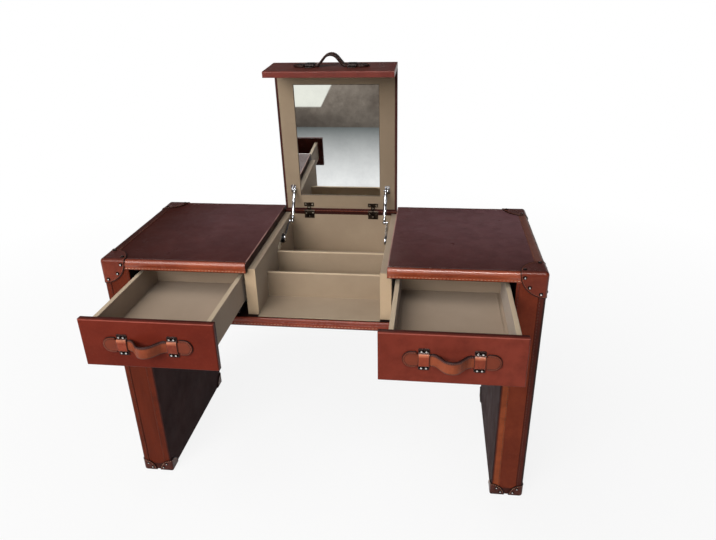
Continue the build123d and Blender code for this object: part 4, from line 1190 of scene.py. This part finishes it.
def loop_stations():
    stations = [(w, 0.0, 13.0, 1.0, w) for w in (0, 5, 9, 11.5, 13, 14, 15, 16, 17, 18, 19, 20, 22, 25)]
    for degrees in (20, 45, 70, 90):
        c, s = polar(1.0, degrees)
        stations.append((25 + 3 * s, s, 10 + 3 * c, c, 23.0))
    return both_ways(stations)


def handle(body, x, z, carry, strap_material, loop_material, girth=1.0):
    """Strap, loops and nails of one handle on the closed case's front, in place of the CAD nodes."""
    def on_strap(s, across, rise):
        u, out, nu, no = handle_line(s)
        return (x + u + nu * rise * girth, FRONT - (out + no * rise * girth), z + across)

    strap = Shape()
    sweep(strap, strap_stations(), STRAP_LEVELS, STRAP_CROWN, on_strap)
    finishes, node = [strap_material, burnished], f"{body}_strap"
    make(f"{body}_strap_leather", strap, body, finishes, carry, 60.0, node)

    loops, heads = Shape(), Shape()
    for middle in (x - LOOP_X, x + LOOP_X):
        def on_loop(w, across, rise):
            under = (STRAP_CROWN * girth + 0.3) * (1 - smooth(abs(w), 14.6, 17.4))
            lift = STRAP_CROWN * girth + 3.15
            above = lift + (LOOP_CROWN - lift) * smooth(abs(w), 13.4, 19.6)
            return (middle + across, FRONT - (under + (above - under) * rise / LOOP_CROWN), z + w)

        sweep(loops, loop_stations(), LOOP_LEVELS, LOOP_CROWN, on_loop)
        for dx in (-5.5, 5.5):
            for dz in (-21.5, 21.5):
                nail(heads, (middle + dx, FRONT - 2.75, z + dz), (0, -1, 0))
    finishes, node = [loop_material, burnished], f"{body}_strap_loops"
    make(f"{body}_loops_leather", loops, body, finishes, carry, 60.0, node)
    finishes, node = [nail_crown_highlight, nail_rim], f"{body}_strap_nails"
    make(f"{body}_nail_heads", heads, body, finishes, carry, 50.0, node)

    # The border sewn round each end, then the two seams along the arch.
    seams, inset = Shape(), 16.9
    edge = [length_at(80.5) + (TIP_MIDDLE - length_at(80.5)) * n / 4 for n in range(5)]
    border = [(s, inset) for s in edge]
    for n in range(1, 12):
        c, s = polar(inset, 90 - 15 * n)
        border.append((TIP_MIDDLE + c, s))
    border += [(s, -inset) for s in reversed(edge)]
    for _, side in SIDES:
        sew(seams, [(on_strap(side * s, across, 4.85), (0, -1, 0)) for s, across in border], 5.2, 3.4, 0.55)
    for across in (-12.8, 12.8):
        path = []
        for n in range(41):
            s = (FLAT_START + 1.0) * (n / 20 - 1)
            _, _, nu, no = handle_line(s)
            path.append((on_strap(s, across, 4.75), (nu, -no, 0)))
        sew(seams, path, 5.2, 3.4, 0.55)
    make(f"{body}_handle_stitches", seams, body, [dark_thread], carry)


for name, side in SIDES:
    handle(f"drawer_{name}", side * HANDLE_X, HANDLE_Z, opened_drawer, strap_hide, loop_hide)
# the lid's handle, in painted shade
handle("lid", 0.0, LID_HANDLE_Z, opened_lid, lid_handle_shade_hide, lid_handle_shade_hide, 1.3)

for name, seams, material in (
    ("pale", pale_seams, pale_thread), ("dark", dark_seams, dark_thread), ("black", black_seams, black_thread)
):
    make(f"case_stitches_{name}", seams, "case", [material])


# ---------------- floor, light and camera, in metres
WALL_Y, WALL_HALF, WALL_TOP, FLOOR_HALF = -2.6, 3.0, 0.6, 40.0


def shader_mix(tree, factor, first, second):
    return add(tree, "ShaderNodeMixShader", {0: factor, 1: first, 2: second}).outputs[0]


def emission(tree, tint):
    return add(tree, "ShaderNodeEmission", {"Color": tint, "Strength": 1.0}).outputs[0]


def seen_directly(tree):
    """1 for the rays that show the background: straight to the camera, or by a metal or a glass."""
    rays = add(tree, "ShaderNodeLightPath").outputs
    return largest(rays["Is Camera Ray"], largest(rays["Is Glossy Ray"], rays["Is Transmission Ray"]))


def floor_material():
    """Pale floor that keeps the shadow near the desk and runs out to plain white further off; in reflections
    it carries a painted grey shadow towards the wall."""
    material, tree, at = new_material("studio_floor")
    tint = mixed(noise(at, 0.8, 2.0, 0.5), (212, 212, 212), (220, 220, 219))
    matte = add(tree, "ShaderNodeBsdfDiffuse", {"Color": tint}).outputs[0]
    reflected = add(tree, "ShaderNodeLightPath").outputs["Is Glossy Ray"]
    # painted shadow of the wall on the floor, seen only in reflections
    wall_shadow = times(ranged(coordinate(at, Y), -1.5, WALL_Y), reflected)
    glow = emission(tree, mixed(wall_shadow, (255, 255, 255), (100, 106, 106)))
    far = add(tree, "ShaderNodeVectorMath", {0: at}, operation="LENGTH").outputs["Value"]
    share = times(seen_directly(tree), ranged(far, 0.8, 3.0, 0.87, 1.0))
    add(tree, "ShaderNodeOutputMaterial", {"Surface": shader_mix(tree, share, matte, glow)})
    return material


def wall_material():
    """Grey-brown plaster of the low wall that the mirror faces, with daylight on its left end."""
    material, tree, at = new_material("studio_wall")
    x, z = coordinate(at, X), coordinate(at, Z)
    tint = mixed(ranged(noise(at, 2.2, 5.0, 0.65), 0.35, 0.65), (104, 94, 86), (156, 145, 134))
    tint = mixed(ranged(noise(at, 9.0, 4.0, 0.7), 0.45, 0.75, 0.0, 0.5), tint, (70, 62, 57))
    tint = mixed(times(ranged(z, 0.20, 0.0), 0.6), tint, (52, 48, 45))
    lean = minus(x, times(z, 0.55))
    lit = times(ranged(lean, -0.70, -0.71), ranged(z, 0.165, 0.175))
    tint = mixed(lit, tint, (250, 250, 240))
    add(tree, "ShaderNodeOutputMaterial", {"Surface": emission(tree, tint)})
    return material


def sheet_of(name, corners, material):
    """A flat sheet of the studio."""
    mesh = bpy.data.meshes.new(name)
    mesh.from_pydata(corners, [], [tuple(range(len(corners)))])
    mesh.materials.append(material)
    sheet = bpy.data.objects.new(name, mesh)
    bpy.context.scene.collection.objects.link(sheet)
    return sheet


around = [(x * FLOOR_HALF, y * FLOOR_HALF, 0) for x, y in ((-1, -1), (1, -1), (1, 1), (-1, 1))]
sheet_of("floor", around, floor_material())
upright = [(x * WALL_HALF, WALL_Y, z) for x, z in ((-1, 0), (1, 0), (1, WALL_TOP), (-1, WALL_TOP))]
wall = sheet_of("low_wall", upright, wall_material())
wall.visible_camera = wall.visible_diffuse = wall.visible_shadow = False

world = bpy.data.worlds.new("studio")
world.use_nodes = True
bpy.context.scene.world = world
sky = world.node_tree
sky.nodes.clear()
# Dim daylight lights the desk. The camera sees plain white, and metals a dark ceiling above it.
dim, bright, ceiling = (
    add(sky, "ShaderNodeBackground", {"Color": colour(*tint), "Strength": strength}).outputs[0]
    for tint, strength in (((232, 235, 240), 0.15), ((255, 255, 255), 1.0), ((72, 68, 68), 1.0))
)
height = coordinate(add(sky, "ShaderNodeTexCoord").outputs["Generated"], Z)
to_camera = add(sky, "ShaderNodeLightPath").outputs["Is Camera Ray"]
raised = times(ranged(height, 0.0, 0.16), minus(1.0, to_camera))
shown = shader_mix(sky, raised, bright, ceiling)
add(sky, "ShaderNodeOutputWorld", {"Surface": shader_mix(sky, seen_directly(sky), dim, shown)})

DAYLIGHT, WHITE = (1.0, 0.985, 0.965), (1, 1, 1)


def lamp(name, at, aim, width, height, power, tint=WHITE, diffuse=True, shine=True):
    """An area lamp. It may be kept from lighting matte surfaces or from showing as a shine."""
    data = bpy.data.lights.new(name, "AREA")
    data.shape, data.size, data.size_y = "RECTANGLE", width, height
    data.energy, data.color = power, tint
    made = bpy.data.objects.new(name, data)
    made.location = at
    made.rotation_euler = (Vector(aim) - Vector(at)).to_track_quat("-Z", "Y").to_euler()
    made.visible_diffuse, made.visible_glossy = diffuse, shine
    bpy.context.scene.collection.objects.link(made)


lamp("key", (-1.7, -3.2, 2.7), (0, 0, 0.7), 2.6, 1.7, 124, DAYLIGHT)
lamp("strip", (0.56, -1.85, 2.85), (0.3, 0, 0.7), 1.25, 0.26, 70, DAYLIGHT, diffuse=False)
lamp("front", (0.1, -4.2, 1.9), (0, 0, 0.65), 1.6, 1.2, 34)
lamp("overhead", (-0.7, -1.5, 3.5), (0, 0, 0.7), 2.2, 1.6, 52)
lamp("rear", (-0.3, 3.6, 1.3), (0, 0.2, 0.5), 2.0, 1.2, 42, shine=False)

# The photo's camera, solved from the case's straight edges.
EYE, YAW, PITCH, ROLL = (0.296256, -1.515359, 1.414319), -0.127268, 0.437577, 0.021973
FOCAL, PHOTO_WIDTH, SENSOR = 604.795, 716, 36.0     # pixels, pixels, millimetres
ahead = Vector((math.sin(YAW) * math.cos(PITCH), math.cos(YAW) * math.cos(PITCH), -math.sin(PITCH)))
right = Vector((math.cos(YAW), -math.sin(YAW), 0))
down = ahead.cross(right)
across = right * math.cos(ROLL) + down * math.sin(ROLL)
upwards = right * math.sin(ROLL) - down * math.cos(ROLL)
lens = bpy.data.cameras.new("camera")
lens.sensor_width = SENSOR
lens.lens = FOCAL * SENSOR / PHOTO_WIDTH
lens.clip_start, lens.clip_end = 0.05, 200
camera = bpy.data.objects.new("camera", lens)
rows = [(across[i], upwards[i], -ahead[i], EYE[i]) for i in range(3)]
camera.matrix_world = Matrix((*rows, (0, 0, 0, 1)))
bpy.context.scene.collection.objects.link(camera)
bpy.context.scene.camera = camera
bpy.context.scene.view_settings.view_transform = "Standard"
